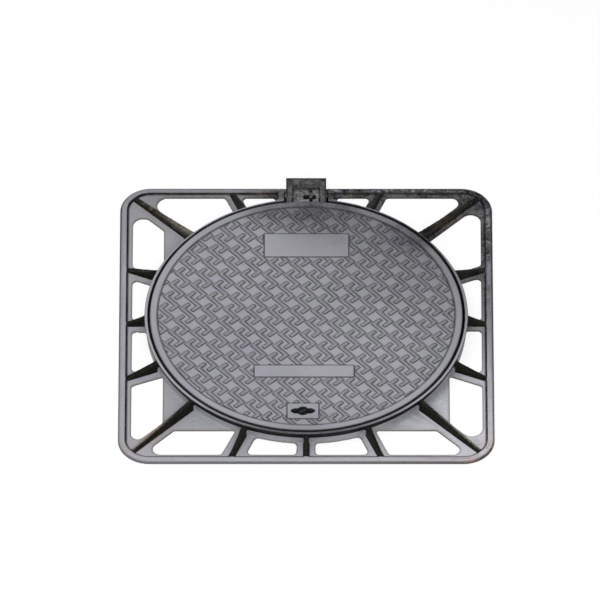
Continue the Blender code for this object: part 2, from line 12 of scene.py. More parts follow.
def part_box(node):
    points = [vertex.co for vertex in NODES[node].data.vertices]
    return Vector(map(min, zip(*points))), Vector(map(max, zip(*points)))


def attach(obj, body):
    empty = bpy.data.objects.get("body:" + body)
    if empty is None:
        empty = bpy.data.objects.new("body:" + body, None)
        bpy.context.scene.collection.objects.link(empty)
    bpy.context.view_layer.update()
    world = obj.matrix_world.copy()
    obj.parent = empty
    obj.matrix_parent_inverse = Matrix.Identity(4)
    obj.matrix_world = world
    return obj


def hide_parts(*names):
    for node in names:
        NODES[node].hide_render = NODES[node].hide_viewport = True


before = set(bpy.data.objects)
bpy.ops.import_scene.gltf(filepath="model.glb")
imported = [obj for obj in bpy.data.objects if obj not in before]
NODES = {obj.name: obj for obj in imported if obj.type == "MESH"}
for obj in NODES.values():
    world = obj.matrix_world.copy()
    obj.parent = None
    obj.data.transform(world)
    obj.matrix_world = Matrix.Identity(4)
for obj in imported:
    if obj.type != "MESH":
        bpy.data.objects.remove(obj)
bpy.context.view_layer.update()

# ------------------------------------------------------------------ dimensions, from the CAD
F_LO, F_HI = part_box("frame_casting")
C_LO, C_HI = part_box("cover_casting")
B_LO, B_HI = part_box("hinge_box")
HALF = F_HI.x
TOP_Z = F_HI.z
CORNER_R = 0.067
BASE_T = 0.005
RIM_W, RIM_Z = 0.0165, 0.009
FIELD_Z = TOP_Z - 0.0020
RIB_COUNT, RIB_T = 16, 0.0110
RIB_TOP_Z = 0.0310
WINDOW_IN_R, WINDOW_OUT_HALF, WINDOW_LEFT, INNER_SQUARE_HALF = 0.342, 0.3745, -0.3715, 0.3055
WINDOW_TIP_R = {1: 0.0210, 2: 0.0168, 5: 0.0240, 6: 0.0214, 9: 0.0135, 10: 0.0170, 13: 0.0142, 14: 0.0230}
PLATE_WINDOWS = (6, 9, 10, 13, 14)
RIB_FOOT = ((0.0150, 0.0160), (0.0180, 0.0145), (0.0165, 0.0140), (0.0150, 0.0170),
            (0.0660, 0.0660), (0.0180, 0.0145), (0.0195, 0.0145), (0.0195, 0.0150),
            (0.0190, 0.0150), (0.0210, 0.0135), (0.0175, 0.0160), (0.0250, 0.0225),
            (0.0200, 0.0205), (0.0190, 0.0185), (0.0145, 0.0200), (0.0130, 0.0205))
COVER_R = C_HI.x
BAND_IN_R = 0.318
BAY_HALF, BAY_CHEEK_T = 0.047, 0.013
PIN_Y, PIN_Z = 0.362, 0.0215
LOCK_X, LOCK_Y = -0.0070, -0.2775
ARM_SPANS = ((-0.0275, 0.0075), (0.0130, 0.0275))
ARM_R = 0.0145
BOX_HALF, BOX_Y1 = B_HI.x, B_HI.y
BOX_TOP = B_HI.z
BOX_WALL_Y, BOX_IN_HALF = 0.3880, 0.030
SCREW_X, SCREW_Y = 0.0365, 0.3932

rng = np.random.default_rng(7)


# ------------------------------------------------------------------ mesh tools
def new_object(name, bm, smooth=True):
    me = bpy.data.meshes.new(name)
    bm.to_mesh(me)
    bm.free()
    if smooth:
        me.shade_smooth()
    ob = bpy.data.objects.new(name, me)
    bpy.context.scene.collection.objects.link(ob)
    return ob


def prism(bm, pts, lo, hi, axis="Z", shrink=None):
    """Closed prism.  axis Z: (x, y) outline, z lo..hi.  axis X: (y, z) outline, x lo..hi."""
    def at(p, h):
        return (p[0], p[1], h) if axis == "Z" else (h, p[0], p[1])

    a = [bm.verts.new(at(p, lo)) for p in pts]
    b = [bm.verts.new(at(p, hi)) for p in (shrink or pts)]
    n = len(pts)
    bm.faces.new(list(reversed(a)))
    bm.faces.new(b)
    for i in range(n):
        j = (i + 1) % n
        bm.faces.new((a[i], a[j], b[j], b[i]))


def lathe(bm, prof, seg):
    rings = []
    for r, z in prof:
        if r < 1e-9:
            rings.append([bm.verts.new((0.0, 0.0, z))])
        else:
            rings.append([bm.verts.new((r * math.cos(2 * math.pi * k / seg),
                                        r * math.sin(2 * math.pi * k / seg), z)) for k in range(seg)])
    n = len(prof)
    for i in range(n):
        a, b = rings[i], rings[(i + 1) % n]
        if len(a) == 1 and len(b) == 1:
            continue
        for k in range(seg):
            m = (k + 1) % seg
            if len(a) == 1:
                bm.faces.new((a[0], b[k], b[m]))
            elif len(b) == 1:
                bm.faces.new((a[k], a[m], b[0]))
            else:
                bm.faces.new((a[k], a[m], b[m], b[k]))


def circle(cx, cy, r, seg):
    return [(cx + r * math.cos(2 * math.pi * k / seg), cy + r * math.sin(2 * math.pi * k / seg)) for k in range(seg)]


def rect(x0, x1, y0, y1):
    return [(x0, y0), (x1, y0), (x1, y1), (x0, y1)]


def rounded_square(half, r, seg):
    pts = []
    for cx, cy, a0 in ((1, 1, 0), (-1, 1, 90), (-1, -1, 180), (1, -1, 270)):
        for k in range(seg + 1):
            a = math.radians(a0 + 90.0 * k / seg)
            pts.append((cx * (half - r) + r * math.cos(a), cy * (half - r) + r * math.sin(a)))
    return pts


def tool(fn, *args, **kw):
    bm = bmesh.new()
    fn(bm, *args, **kw)
    bmesh.ops.recalc_face_normals(bm, faces=bm.faces[:])
    return new_object("tool", bm)


def evaluated_mesh(ob):
    bpy.context.view_layer.update()
    return bpy.data.meshes.new_from_object(ob.evaluated_get(bpy.context.evaluated_depsgraph_get()))


def swap_mesh(ob, me):
    old = ob.data
    ob.modifiers.clear()
    ob.data = me
    me.name = ob.name
    bpy.data.meshes.remove(old)


def combine(ob, other, op):
    mod = ob.modifiers.new("bool", "BOOLEAN")
    mod.operation = op
    mod.solver = "MANIFOLD"
    mod.object = other
    swap_mesh(ob, evaluated_mesh(ob))
    bpy.data.objects.remove(other, do_unlink=True)


def cast(ob, voxel, smooth_steps, target_faces, factor=0.5):
    """Turn a hard-edged solid into a casting: remesh, soften every edge, thin the mesh."""
    mod = ob.modifiers.new("r", "REMESH")
    mod.mode = "VOXEL"
    mod.voxel_size = voxel
    mod.use_smooth_shade = True
    sm = ob.modifiers.new("s", "SMOOTH")
    sm.factor = factor
    sm.iterations = smooth_steps
    swap_mesh(ob, evaluated_mesh(ob))
    faces = len(ob.data.polygons) * 2
    if target_faces and faces > target_faces:
        dec = ob.modifiers.new("d", "DECIMATE")
        dec.ratio = target_faces / faces
        swap_mesh(ob, evaluated_mesh(ob))
    ob.data.shade_smooth()


def coords(ob):
    co = np.empty(len(ob.data.vertices) * 3)
    ob.data.vertices.foreach_get("co", co)
    return co.reshape(-1, 3)


def normals(ob):
    no = np.empty(len(ob.data.vertices) * 3)
    ob.data.vertices.foreach_get("normal", no)
    return no.reshape(-1, 3)


def set_coords(ob, co):
    ob.data.vertices.foreach_set("co", co.astype(np.float32).ravel())
    ob.data.update()


def point_attribute(ob, name, values):
    a = ob.data.attributes.new(name, "FLOAT", "POINT")
    a.data.foreach_set("value", np.asarray(values, np.float32))


def value_noise(p, scale, seed):
    """Smooth repeatable noise in about -1..1 from a lattice hash, for many points at once."""
    q = p * scale
    i = np.floor(q).astype(np.int64)
    f = q - i
    f = f * f * (3 - 2 * f)
    out = np.zeros(len(p))
    for dx in (0, 1):
        for dy in (0, 1):
            for dz in (0, 1):
                h = ((i[:, 0] + dx) * 374761393 + (i[:, 1] + dy) * 668265263 + (i[:, 2] + dz) * 2147483647
                     + seed * 1274126177) & 0x7FFFFFFF
                h = (h ^ (h >> 13)) * 1103515245 & 0x7FFFFFFF
                h = (h ^ (h >> 16)) & 0xFFFF
                w = (f[:, 0] if dx else 1 - f[:, 0]) * (f[:, 1] if dy else 1 - f[:, 1]) * (f[:, 2] if dz else 1 - f[:, 2])
                out += w * (h / 32767.5 - 1.0)
    return out


def fractal(p, scale, seed, octaves=3):
    out, amp = np.zeros(len(p)), 1.0
    for k in range(octaves):
        out += amp * value_noise(p, scale * 2 ** k, seed + k)
        amp *= 0.5
    return out / 1.6


# ------------------------------------------------------------------ outlines
def square_radius(half, corner_r, t):
    c, s = abs(math.cos(t)), abs(math.sin(t))
    d = half / max(c, s)
    if min(c, s) * d <= half - corner_r:
        return d
    k = half - corner_r
    b = k * (c + s)
    return b + math.sqrt(max(0.0, b * b - (2 * k * k - corner_r * corner_r)))


def clip(pts, nx, ny, off):
    out = []
    for i in range(len(pts)):
        p, q = pts[i], pts[(i + 1) % len(pts)]
        dp, dq = nx * p[0] + ny * p[1] - off, nx * q[0] + ny * q[1] - off
        if dp >= 0:
            out.append(p)
        if (dp >= 0) != (dq >= 0):
            u = dp / (dp - dq)
            out.append((p[0] + u * (q[0] - p[0]), p[1] + u * (q[1] - p[1])))
    return out


def turn(a, b, c):
    v, w = (b[0] - a[0], b[1] - a[1]), (c[0] - b[0], c[1] - b[1])
    return math.atan2(v[0] * w[1] - v[1] * w[0], v[0] * w[0] + v[1] * w[1])


def simplify(pts, tol_deg=0.8, min_len=0.0015):
    keep = []
    for p in pts:
        if not keep or math.hypot(p[0] - keep[-1][0], p[1] - keep[-1][1]) > min_len:
            keep.append(p)
    if math.hypot(keep[0][0] - keep[-1][0], keep[0][1] - keep[-1][1]) < min_len:
        keep.pop()
    n = len(keep)
    return [keep[i] for i in range(n) if math.degrees(abs(turn(keep[i - 1], keep[i], keep[(i + 1) % n]))) > tol_deg]


def fillet(pts, radius_of, seg=6, min_turn=28.0):
    out = []
    n = len(pts)
    for i in range(n):
        a, b, c = pts[i - 1], pts[i], pts[(i + 1) % n]
        t = turn(a, b, c)
        if abs(math.degrees(t)) < min_turn:
            out.append(b)
            continue
        la, lc = math.hypot(b[0] - a[0], b[1] - a[1]), math.hypot(c[0] - b[0], c[1] - b[1])
        r = radius_of(b, t)
        reach = 0.62 if abs(math.degrees(t)) > 100.0 else 0.45
        d = min(r * math.tan(abs(t) / 2), reach * la, reach * lc)
        r = d / math.tan(abs(t) / 2)
        u, w = ((a[0] - b[0]) / la, (a[1] - b[1]) / la), ((c[0] - b[0]) / lc, (c[1] - b[1]) / lc)
        p0 = (b[0] + u[0] * d, b[1] + u[1] * d)
        h = math.hypot(r, d)
        bis = (u[0] + w[0], u[1] + w[1])
        bl = math.hypot(*bis)
        cen = (b[0] + bis[0] / bl * h, b[1] + bis[1] / bl * h)
        a0 = math.atan2(p0[1] - cen[1], p0[0] - cen[0])
        for k in range(seg + 1):
            ang = a0 + t * k / seg
            out.append((cen[0] + r * math.cos(ang), cen[1] + r * math.sin(ang)))
    return out


def window_outline(i, grow=0.0):
    """Hole in the base plate between rib i and the next one; grow makes it larger all round."""
    step = 2 * math.pi / RIB_COUNT
    a0, a1 = i * step, (i + 1) * step
    n = 48
    outer, inner = [], []
    for k in range(n + 1):
        t = a0 + (a1 - a0) * k / n
        ro = square_radius(WINDOW_OUT_HALF + grow, 0.0, t)
        ri = WINDOW_IN_R
        if i in PLATE_WINDOWS:
            ri = max(ri, INNER_SQUARE_HALF / max(abs(math.cos(t)), abs(math.sin(t))))
        ri -= grow
        outer.append((ro * math.cos(t), ro * math.sin(t)))
        inner.append((ri * math.cos(t), ri * math.sin(t)))
    pts = outer + list(reversed(inner))

    def side(rib, sign):
        angle = rib * step
        return -sign * math.sin(angle), sign * math.cos(angle), RIB_FOOT[rib % RIB_COUNT][0 if sign > 0 else 1] - grow

    pts = clip(pts, *side(i, 1))
    pts = clip(pts, *side(i + 1, -1))
    pts = clip(pts, 1.0, 0.0, WINDOW_LEFT - grow)
    pts = simplify(pts)

    def radius_of(p, t):
        return (0.009 if math.hypot(p[0], p[1]) < 0.46 else WINDOW_TIP_R[i]) + grow

    return fillet(pts, radius_of)


def rotated(ob_bm, target, angle):
    ob_bm.transform(Matrix.Rotation(angle, 4, "Z"))
    me = bpy.data.meshes.new("tmp")
    ob_bm.to_mesh(me)
    ob_bm.free()
    target.from_mesh(me)
    bpy.data.meshes.remove(me)


# ------------------------------------------------------------------ frame casting
def make_frame():
    bm = bmesh.new()
    prism(bm, rounded_square(HALF - 0.008, CORNER_R - 0.008, 16), 0.0, BASE_T)
    ob = new_object("frame_body", bm)
    bm = bmesh.new()
    for i in range(RIB_COUNT):
        prism(bm, window_outline(i), -0.004, BASE_T + 0.004)
    combine(ob, new_object("tool", bm), "DIFFERENCE")
    combine(ob, tool(prism, circle(0, 0, 0.322, 256), -0.004, BASE_T + 0.004), "DIFFERENCE")

    section = [(0.0, 0.0001), (0.0, 0.0035), (0.0008, 0.0055), (0.0024, 0.0075), (0.0052, 0.0088), (0.0075, RIM_Z),
               (0.0142, RIM_Z), (0.0152, RIM_Z - 0.0008), (0.0158, 0.0050), (0.0158, 0.0001)]
    bm = bmesh.new()
    loops = [[bm.verts.new((p[0], p[1], z)) for p in rounded_square(HALF - d, CORNER_R - d, 16)] for d, z in section]
    for i in range(len(loops)):
        a, b = loops[i], loops[(i + 1) % len(loops)]
        for k in range(len(a)):
            m = (k + 1) % len(a)
            bm.faces.new((a[k], a[m], b[m], b[k]))
    bmesh.ops.recalc_face_normals(bm, faces=bm.faces[:])
    combine(ob, new_object("tool", bm), "UNION")

    ring = [(0.316, 0.0001), (0.3419, 0.0001), (0.3419, 0.0058), (0.3408, 0.0085), (0.3398, 0.0175), (0.3398, 0.0192),
            (0.3412, 0.0205), (0.3412, 0.0300),
            (0.3450, 0.0316), (0.3455, 0.0322), (0.3455, 0.0348), (0.3451, 0.0356), (0.3443, TOP_Z), (0.3386, TOP_Z),
            (0.3354, 0.0135), (0.300, 0.0135), (0.300, 0.008), (0.316, 0.008)]
    combine(ob, tool(lathe, ring, 256), "UNION")

    bm = bmesh.new()
    for i in range(RIB_COUNT):
        t = i * 2 * math.pi / RIB_COUNT
        if abs(t - math.pi / 2) < 1e-6:
            continue
        r1 = square_radius(HALF - RIM_W, CORNER_R - RIM_W, t) + 0.003
        tmp = bmesh.new()
        # web with draft: wider at its foot than along its top, and a small fillet strip at the foot
        r0 = 0.3385
        foot_z = BASE_T + 0.0016

        def height(r):
            u = (r - 0.3445) / (r1 - 0.3445)
            return RIB_TOP_Z + (RIM_Z - 0.0006 - RIB_TOP_Z) * max(0.0, min(1.0, u)) ** 0.92

        stations = [r0, 0.3445] + [0.3445 + (r1 - 0.3445) * k / 6 for k in range(1, 7)]
        rows = []
        for r in stations:
            h = height(r)
            w0, w1 = RIB_T / 2 + 0.0016, RIB_T / 2 - 0.0003
            rows.append([(-w0, 0.0015), (w0, 0.0015), (w0, BASE_T), (RIB_T / 2 + 0.0003, min(foot_z, h - 0.001)), (w1, h),
                         (-w1, h), (-RIB_T / 2 - 0.0003, min(foot_z, h - 0.001)), (-w0, BASE_T)])
        vs = [[tmp.verts.new((x, r, z)) for x, z in row] for r, row in zip(stations, rows)]
        tmp.faces.new(vs[0])
        tmp.faces.new(list(reversed(vs[-1])))
        for a, b in zip(vs[:-1], vs[1:]):
            for k in range(8):
                m = (k + 1) % 8
                tmp.faces.new((a[k], b[k], b[m], a[m]))
        bmesh.ops.recalc_face_normals(tmp, faces=tmp.faces[:])
        rotated(tmp, bm, t - math.pi / 2)
    combine(ob, new_object("tool", bm), "UNION")

    x0, x1 = BAY_HALF, BAY_HALF + BAY_CHEEK_T
    cheek = [(0.3345, 0.0015), (0.3885, 0.0015), (0.3885, RIM_Z - 0.0006), (0.3800, 0.0160), (0.3735, 0.0270),
             (0.3665, 0.0352), (0.3345, 0.0352)]
    bm = bmesh.new()
    prism(bm, cheek, x0, x1, "X")
    prism(bm, cheek, -x1, -x0, "X")
    combine(ob, new_object("tool", bm), "UNION")
    combine(ob, tool(prism, rect(-BAY_HALF, BAY_HALF, 0.3300, 0.3520), 0.0136, 0.050), "DIFFERENCE")
    combine(ob, tool(prism, rect(-BAY_HALF, BAY_HALF, 0.3400, 0.3840), BASE_T, 0.050), "DIFFERENCE")
    combine(ob, tool(prism, rect(-BOX_HALF - 0.0005, BOX_HALF + 0.0005, 0.3750, 0.4100), BASE_T, 0.050), "DIFFERENCE")
    # channel just inside the bead, and a shallow rebate round every window
    bm = bmesh.new()
    oa, ia = rounded_square(HALF - 0.0157, CORNER_R - 0.0157, 16), rounded_square(HALF - 0.0188, CORNER_R - 0.0188, 16)
    loops = [[bm.verts.new((p[0], p[1], z)) for p in o] for o, z in ((oa, 0.0028), (oa, 0.0120), (ia, 0.0120), (ia, 0.0028))]
    for i in range(4):
        a, b = loops[i], loops[(i + 1) % 4]
        for k in range(len(a)):
            m = (k + 1) % len(a)
            bm.faces.new((a[k], a[m], b[m], b[k]))
    bmesh.ops.recalc_face_normals(bm, faces=bm.faces[:])
    channel = new_object("tool", bm)
    combine(ob, channel, "DIFFERENCE")
    bm = bmesh.new()
    for i in range(RIB_COUNT):
        prism(bm, window_outline(i, 0.0030), BASE_T - 0.0011, BASE_T + 0.0009)
    combine(ob, new_object("tool", bm), "DIFFERENCE")
    # shallow centre-punch dimples on two of the corner plates
    for x, y, r in ((-0.237, -0.2757, 0.0040), (0.288, -0.226, 0.0034)):
        combine(ob, tool(prism, circle(x, y, r, 20), BASE_T - 0.0022, 0.02), "DIFFERENCE")
    cast(ob, 0.00175, 3, 188000)
    co, no = coords(ob), normals(ob)
    d = 0.00022 * fractal(co, 40.0, 3) + 0.00010 * fractal(co, 240.0, 11)
    low = co[:, 2] < 0.0008
    d[low] = 0.0
    co = co + no * d[:, None]
    co[:, 2] = np.maximum(co[:, 2], 0.0)
    # the lip is dressed back a little towards the hinge
    r = np.hypot(co[:, 0], co[:, 1])
    a = 0.0028 * np.clip((co[:, 1] - 0.10) / 0.12, 0, 1) * np.clip((r - 0.3395) / 0.0050, 0, 1) * (r < 0.3475) * (co[:, 2] > 0.0290)
    k = np.where(np.abs(co[:, 0]) > 0.064, 1 - a / r, 1.0)
    co[:, 0] *= k
    co[:, 1] *= k
    set_coords(ob, co)
    return ob


# ------------------------------------------------------------------ hinge box
def make_hinge_box():
    bm = bmesh.new()
    prism(bm, [(-BOX_HALF, 0.3500), (-BOX_IN_HALF, 0.3500), (-BOX_IN_HALF, BOX_WALL_Y), (BOX_IN_HALF, BOX_WALL_Y),
               (BOX_IN_HALF, 0.3500), (BOX_HALF, 0.3500), (BOX_HALF, BOX_Y1), (-BOX_HALF, BOX_Y1)],
          BASE_T + 0.0003, BOX_TOP)
    ob = new_object("hinge_box_body", bm)
    nose = [(0.3352, 0.0142), (0.3530, 0.0142), (0.3530, BOX_TOP), (0.3450, BOX_TOP), (0.3352, 0.0300)]
    for a, b in ((-BOX_HALF, -BOX_IN_HALF), (BOX_IN_HALF, BOX_HALF)):
        combine(ob, tool(prism, nose, a, b, "X"), "UNION")
    wall = [(0.3885, BASE_T + 0.0003), (0.3885, BOX_TOP), (0.3830, BOX_TOP), (0.3771, 0.0176), (0.3756, 0.0139),
            (0.3732, 0.0108), (0.3732, BASE_T + 0.0003)]
    combine(ob, tool(prism, wall, -BOX_IN_HALF - 0.0002, BOX_IN_HALF + 0.0002, "X"), "UNION")
    combine(ob, tool(prism, circle(PIN_Y, PIN_Z, 0.0063, 32), -0.06, 0.06, "X"), "DIFFERENCE")
    for s in (-1, 1):
        combine(ob, tool(prism, circle(s * SCREW_X, SCREW_Y, 0.0034, 24), 0.002, 0.050), "DIFFERENCE")
        combine(ob, tool(prism, circle(s * SCREW_X, SCREW_Y, 0.0051, 28), 0.0307, 0.050), "DIFFERENCE")
    cast(ob, 0.00075, 3, 60000)
    co, no = coords(ob), normals(ob)
    d = 0.00035 * fractal(co, 90.0, 21) + 0.00022 * fractal(co, 420.0, 31)
    near = np.minimum(np.hypot(co[:, 0] - SCREW_X, co[:, 1] - SCREW_Y), np.hypot(co[:, 0] + SCREW_X, co[:, 1] - SCREW_Y))
    d *= np.clip((near - 0.0055) / 0.002, 0, 1)
    d = np.minimum(d, 0.00015)
    set_coords(ob, co + no * d[:, None])
    return ob


# ------------------------------------------------------------------ cover: tread skin
MM = 0.001
LAT_A = np.array([46.8, -1.2]) * MM
LAT_B = np.array([11.8, 34.2]) * MM
LAT_0 = np.array([-19.0, 0.0]) * MM
BAR_ANGLE = math.radians(-48.3)
BAR_L, BAR_W, HOOK_L, HOOK_W = 44.5 * MM, 8.0 * MM, 24.0 * MM, 7.8 * MM
WALL = ((0.9 * MM, 0.0), (0.5 * MM, 0.13), (-0.3 * MM, 0.87), (-0.8 * MM, 1.0))
# mesh loops where the painted shade round the marks and the painted highlight on their top edges fade
PAINTED_SHADE_OUT, PAINTED_SHADE_MID, PAINTED_SHADE_IN, EDGE_HIGHLIGHT_IN = 3.4 * MM, 2.1 * MM, 1.5 * MM, 2.4 * MM


def offset_polygon(pts, d, r0):
    """Offset a right-angled outline by d (outwards positive) and round its corners."""
    n = len(pts)
    out = []
    for i in range(n):
        a, b, c = pts[i - 1], pts[i], pts[(i + 1) % n]
        e1 = np.array([b[0] - a[0], b[1] - a[1]])
        e2 = np.array([c[0] - b[0], c[1] - b[1]])
        e1, e2 = e1 / np.hypot(*e1), e2 / np.hypot(*e2)
        n1, n2 = np.array([e1[1], -e1[0]]), np.array([e2[1], -e2[0]])
        m = n1 + n2
        m = m / np.dot(m, n1)
        out.append((b[0] + m[0] * d, b[1] + m[1] * d))
    return fillet(out, lambda p, t: max(0.35 * MM, r0 + (d if t > 0 else -d)), seg=3)


def bar_outline():
    """Z-shaped mark in its own axes: a long bar with a hook at each end, on opposite sides."""
    L, w, H, h = BAR_L / 2, BAR_W / 2, HOOK_L, HOOK_W
    return [(-L, -w), (L - h, -w), (L - h, w - H), (L, w - H), (L, w), (-L + h, w), (-L + h, -w + H), (-L, -w + H)]


def to_world(pts, centre):
    c, s = math.cos(BAR_ANGLE), math.sin(BAR_ANGLE)
    return [(centre[0] + c * u - s * v, centre[1] + s * u + c * v) for u, v in pts]


def polygon_sd(p, poly):
    """Signed distance to a polygon, negative inside, for many points."""
    a = np.asarray(poly)
    b = np.roll(a, -1, axis=0)
    best = np.full(len(p), 1e9)
    inside = np.zeros(len(p), bool)
    for (ax, ay), (bx, by) in zip(a, b):
        ex, ey = bx - ax, by - ay
        px, py = p[:, 0] - ax, p[:, 1] - ay
        t = np.clip((px * ex + py * ey) / (ex * ex + ey * ey), 0, 1)
        dx, dy = px - t * ex, py - t * ey
        best = np.minimum(best, dx * dx + dy * dy)
        c1 = (ay <= p[:, 1]) & (by > p[:, 1]) & (ex * py - ey * px > 0)
        c2 = (ay > p[:, 1]) & (by <= p[:, 1]) & (ex * py - ey * px < 0)
        inside ^= (c1 | c2)
    d = np.sqrt(best)
    return np.where(inside, -d, d)


def rect_sd(p, x0, x1, y0, y1, r):
    cx, cy, hx, hy = (x0 + x1) / 2, (y0 + y1) / 2, (x1 - x0) / 2 - r, (y1 - y0) / 2 - r
    qx, qy = np.abs(p[:, 0] - cx) - hx, np.abs(p[:, 1] - cy) - hy
    return np.hypot(np.maximum(qx, 0), np.maximum(qy, 0)) + np.minimum(np.maximum(qx, qy), 0) - r


PADS = ((-0.0895, 0.0910, 0.1710, 0.2384, 2.4 * MM), (-0.1105, 0.1015, -0.1791, -0.1454, 2.0 * MM),
        (LOCK_X - 0.0335, LOCK_X + 0.0335, -0.2995, -0.2556, 1.7 * MM))   # last value: clear gap round the pad
BAND_GAP = 2.0 * MM
KEY_SLOT = (-0.0262, 0.0262, LOCK_Y - 0.0075, LOCK_Y + 0.0075)
KEY_R = 0.0125


def pad_loop(pad, d):
    x0, x1, y0, y1 = pad[:4]
    return offset_polygon([(x0, y0), (x1, y0), (x1, y1), (x0, y1)], d, 1.6 * MM)


def key_outline(d):
    """Keyhole: round centre with a pointed lobe on each side, grown by d."""
    r, h = KEY_R + d, 0.0073 + d
    xe = KEY_SLOT[1] + 1.2 * d
    a0 = math.asin(h / r)
    n = 12
    tip = [(xe - 0.0085, h), (xe - 0.0030, 0.62 * h), (xe - 0.0006, 0.22 * h), (xe, 0.0)]
    lower = [(r * math.cos(math.pi + a0 + (math.pi - 2 * a0) * k / n), r * math.sin(math.pi + a0 + (math.pi - 2 * a0) * k / n))
             for k in range(n + 1)]
    upper = [(r * math.cos(a0 + (math.pi - 2 * a0) * k / n), r * math.sin(a0 + (math.pi - 2 * a0) * k / n))
             for k in range(n + 1)]
    pts = lower + [(x, -y) for x, y in tip] + list(reversed(tip[:-1])) + upper
    pts += [(-x, y) for x, y in tip] + [(-x, -y) for x, y in reversed(tip[:-1])]
    return [(LOCK_X + x, LOCK_Y + y) for x, y in pts]


def marks():
    out = []
    for i in range(-9, 10):
        for j in range(-12, 13):
            c = LAT_0 + i * LAT_A + j * LAT_B
            if np.hypot(*c) < BAND_IN_R + 0.020:
                out.append(c)
    return out


def tread_height(p, centres, outline0):
    """Height share 0..1 above the field, and the largest inward distance t, at many points."""
    xs = [-w for w, _ in WALL]
    hs = [h for _, h in WALL]

    def prof(t):
        return np.interp(t, xs, hs)

    t_mark = np.full(len(p), -1.0)
    for c in centres:
        near = np.where((np.abs(p[:, 0] - c[0]) < 0.034) & (np.abs(p[:, 1] - c[1]) < 0.034))[0]
        if len(near):
            sd = polygon_sd(p[near], to_world(outline0, c))
            t_mark[near] = np.maximum(t_mark[near], -sd)
    t_pad = np.full(len(p), -1.0)
    for x0, x1, y0, y1, gap in PADS:
        sd = rect_sd(p, x0, x1, y0, y1, 1.6 * MM)
        t_pad = np.maximum(t_pad, -sd)
        if gap:
            t_mark = np.minimum(t_mark, sd - gap)
    t_band = np.hypot(p[:, 0], p[:, 1]) - BAND_IN_R
    t_mark = np.minimum(t_mark, -t_band - BAND_GAP)
    t = np.maximum(np.maximum(t_mark, t_pad), t_band)
    return prof(t), t, t_mark


def falloff(co, blobs):
    """Joined soft blobs: 0 nothing, 1 full strength.  Each blob is x, y, radius, strength."""
    keep = np.ones(len(co))
    for x, y, r, s in blobs:
        u = np.clip(np.hypot(co[:, 0] - x, co[:, 1] - y) / r, 0, 1)
        keep *= 1 - s * (1 - u * u * (3 - 2 * u))
    return 1 - keep


COVER_SHADE = ((0.215, 0.275, 0.330, 0.50), (0.235, 0.237, 0.080, 0.66), (0.020, 0.345, 0.170, 0.84),
               (0.335, 0.060, 0.210, 0.22), (-0.100, 0.300, 0.100, 0.15), (0.340, -0.120, 0.200, 0.10), (0.0, -0.335, 0.110, 0.26),
               (-0.085, 0.326, 0.080, 0.45))


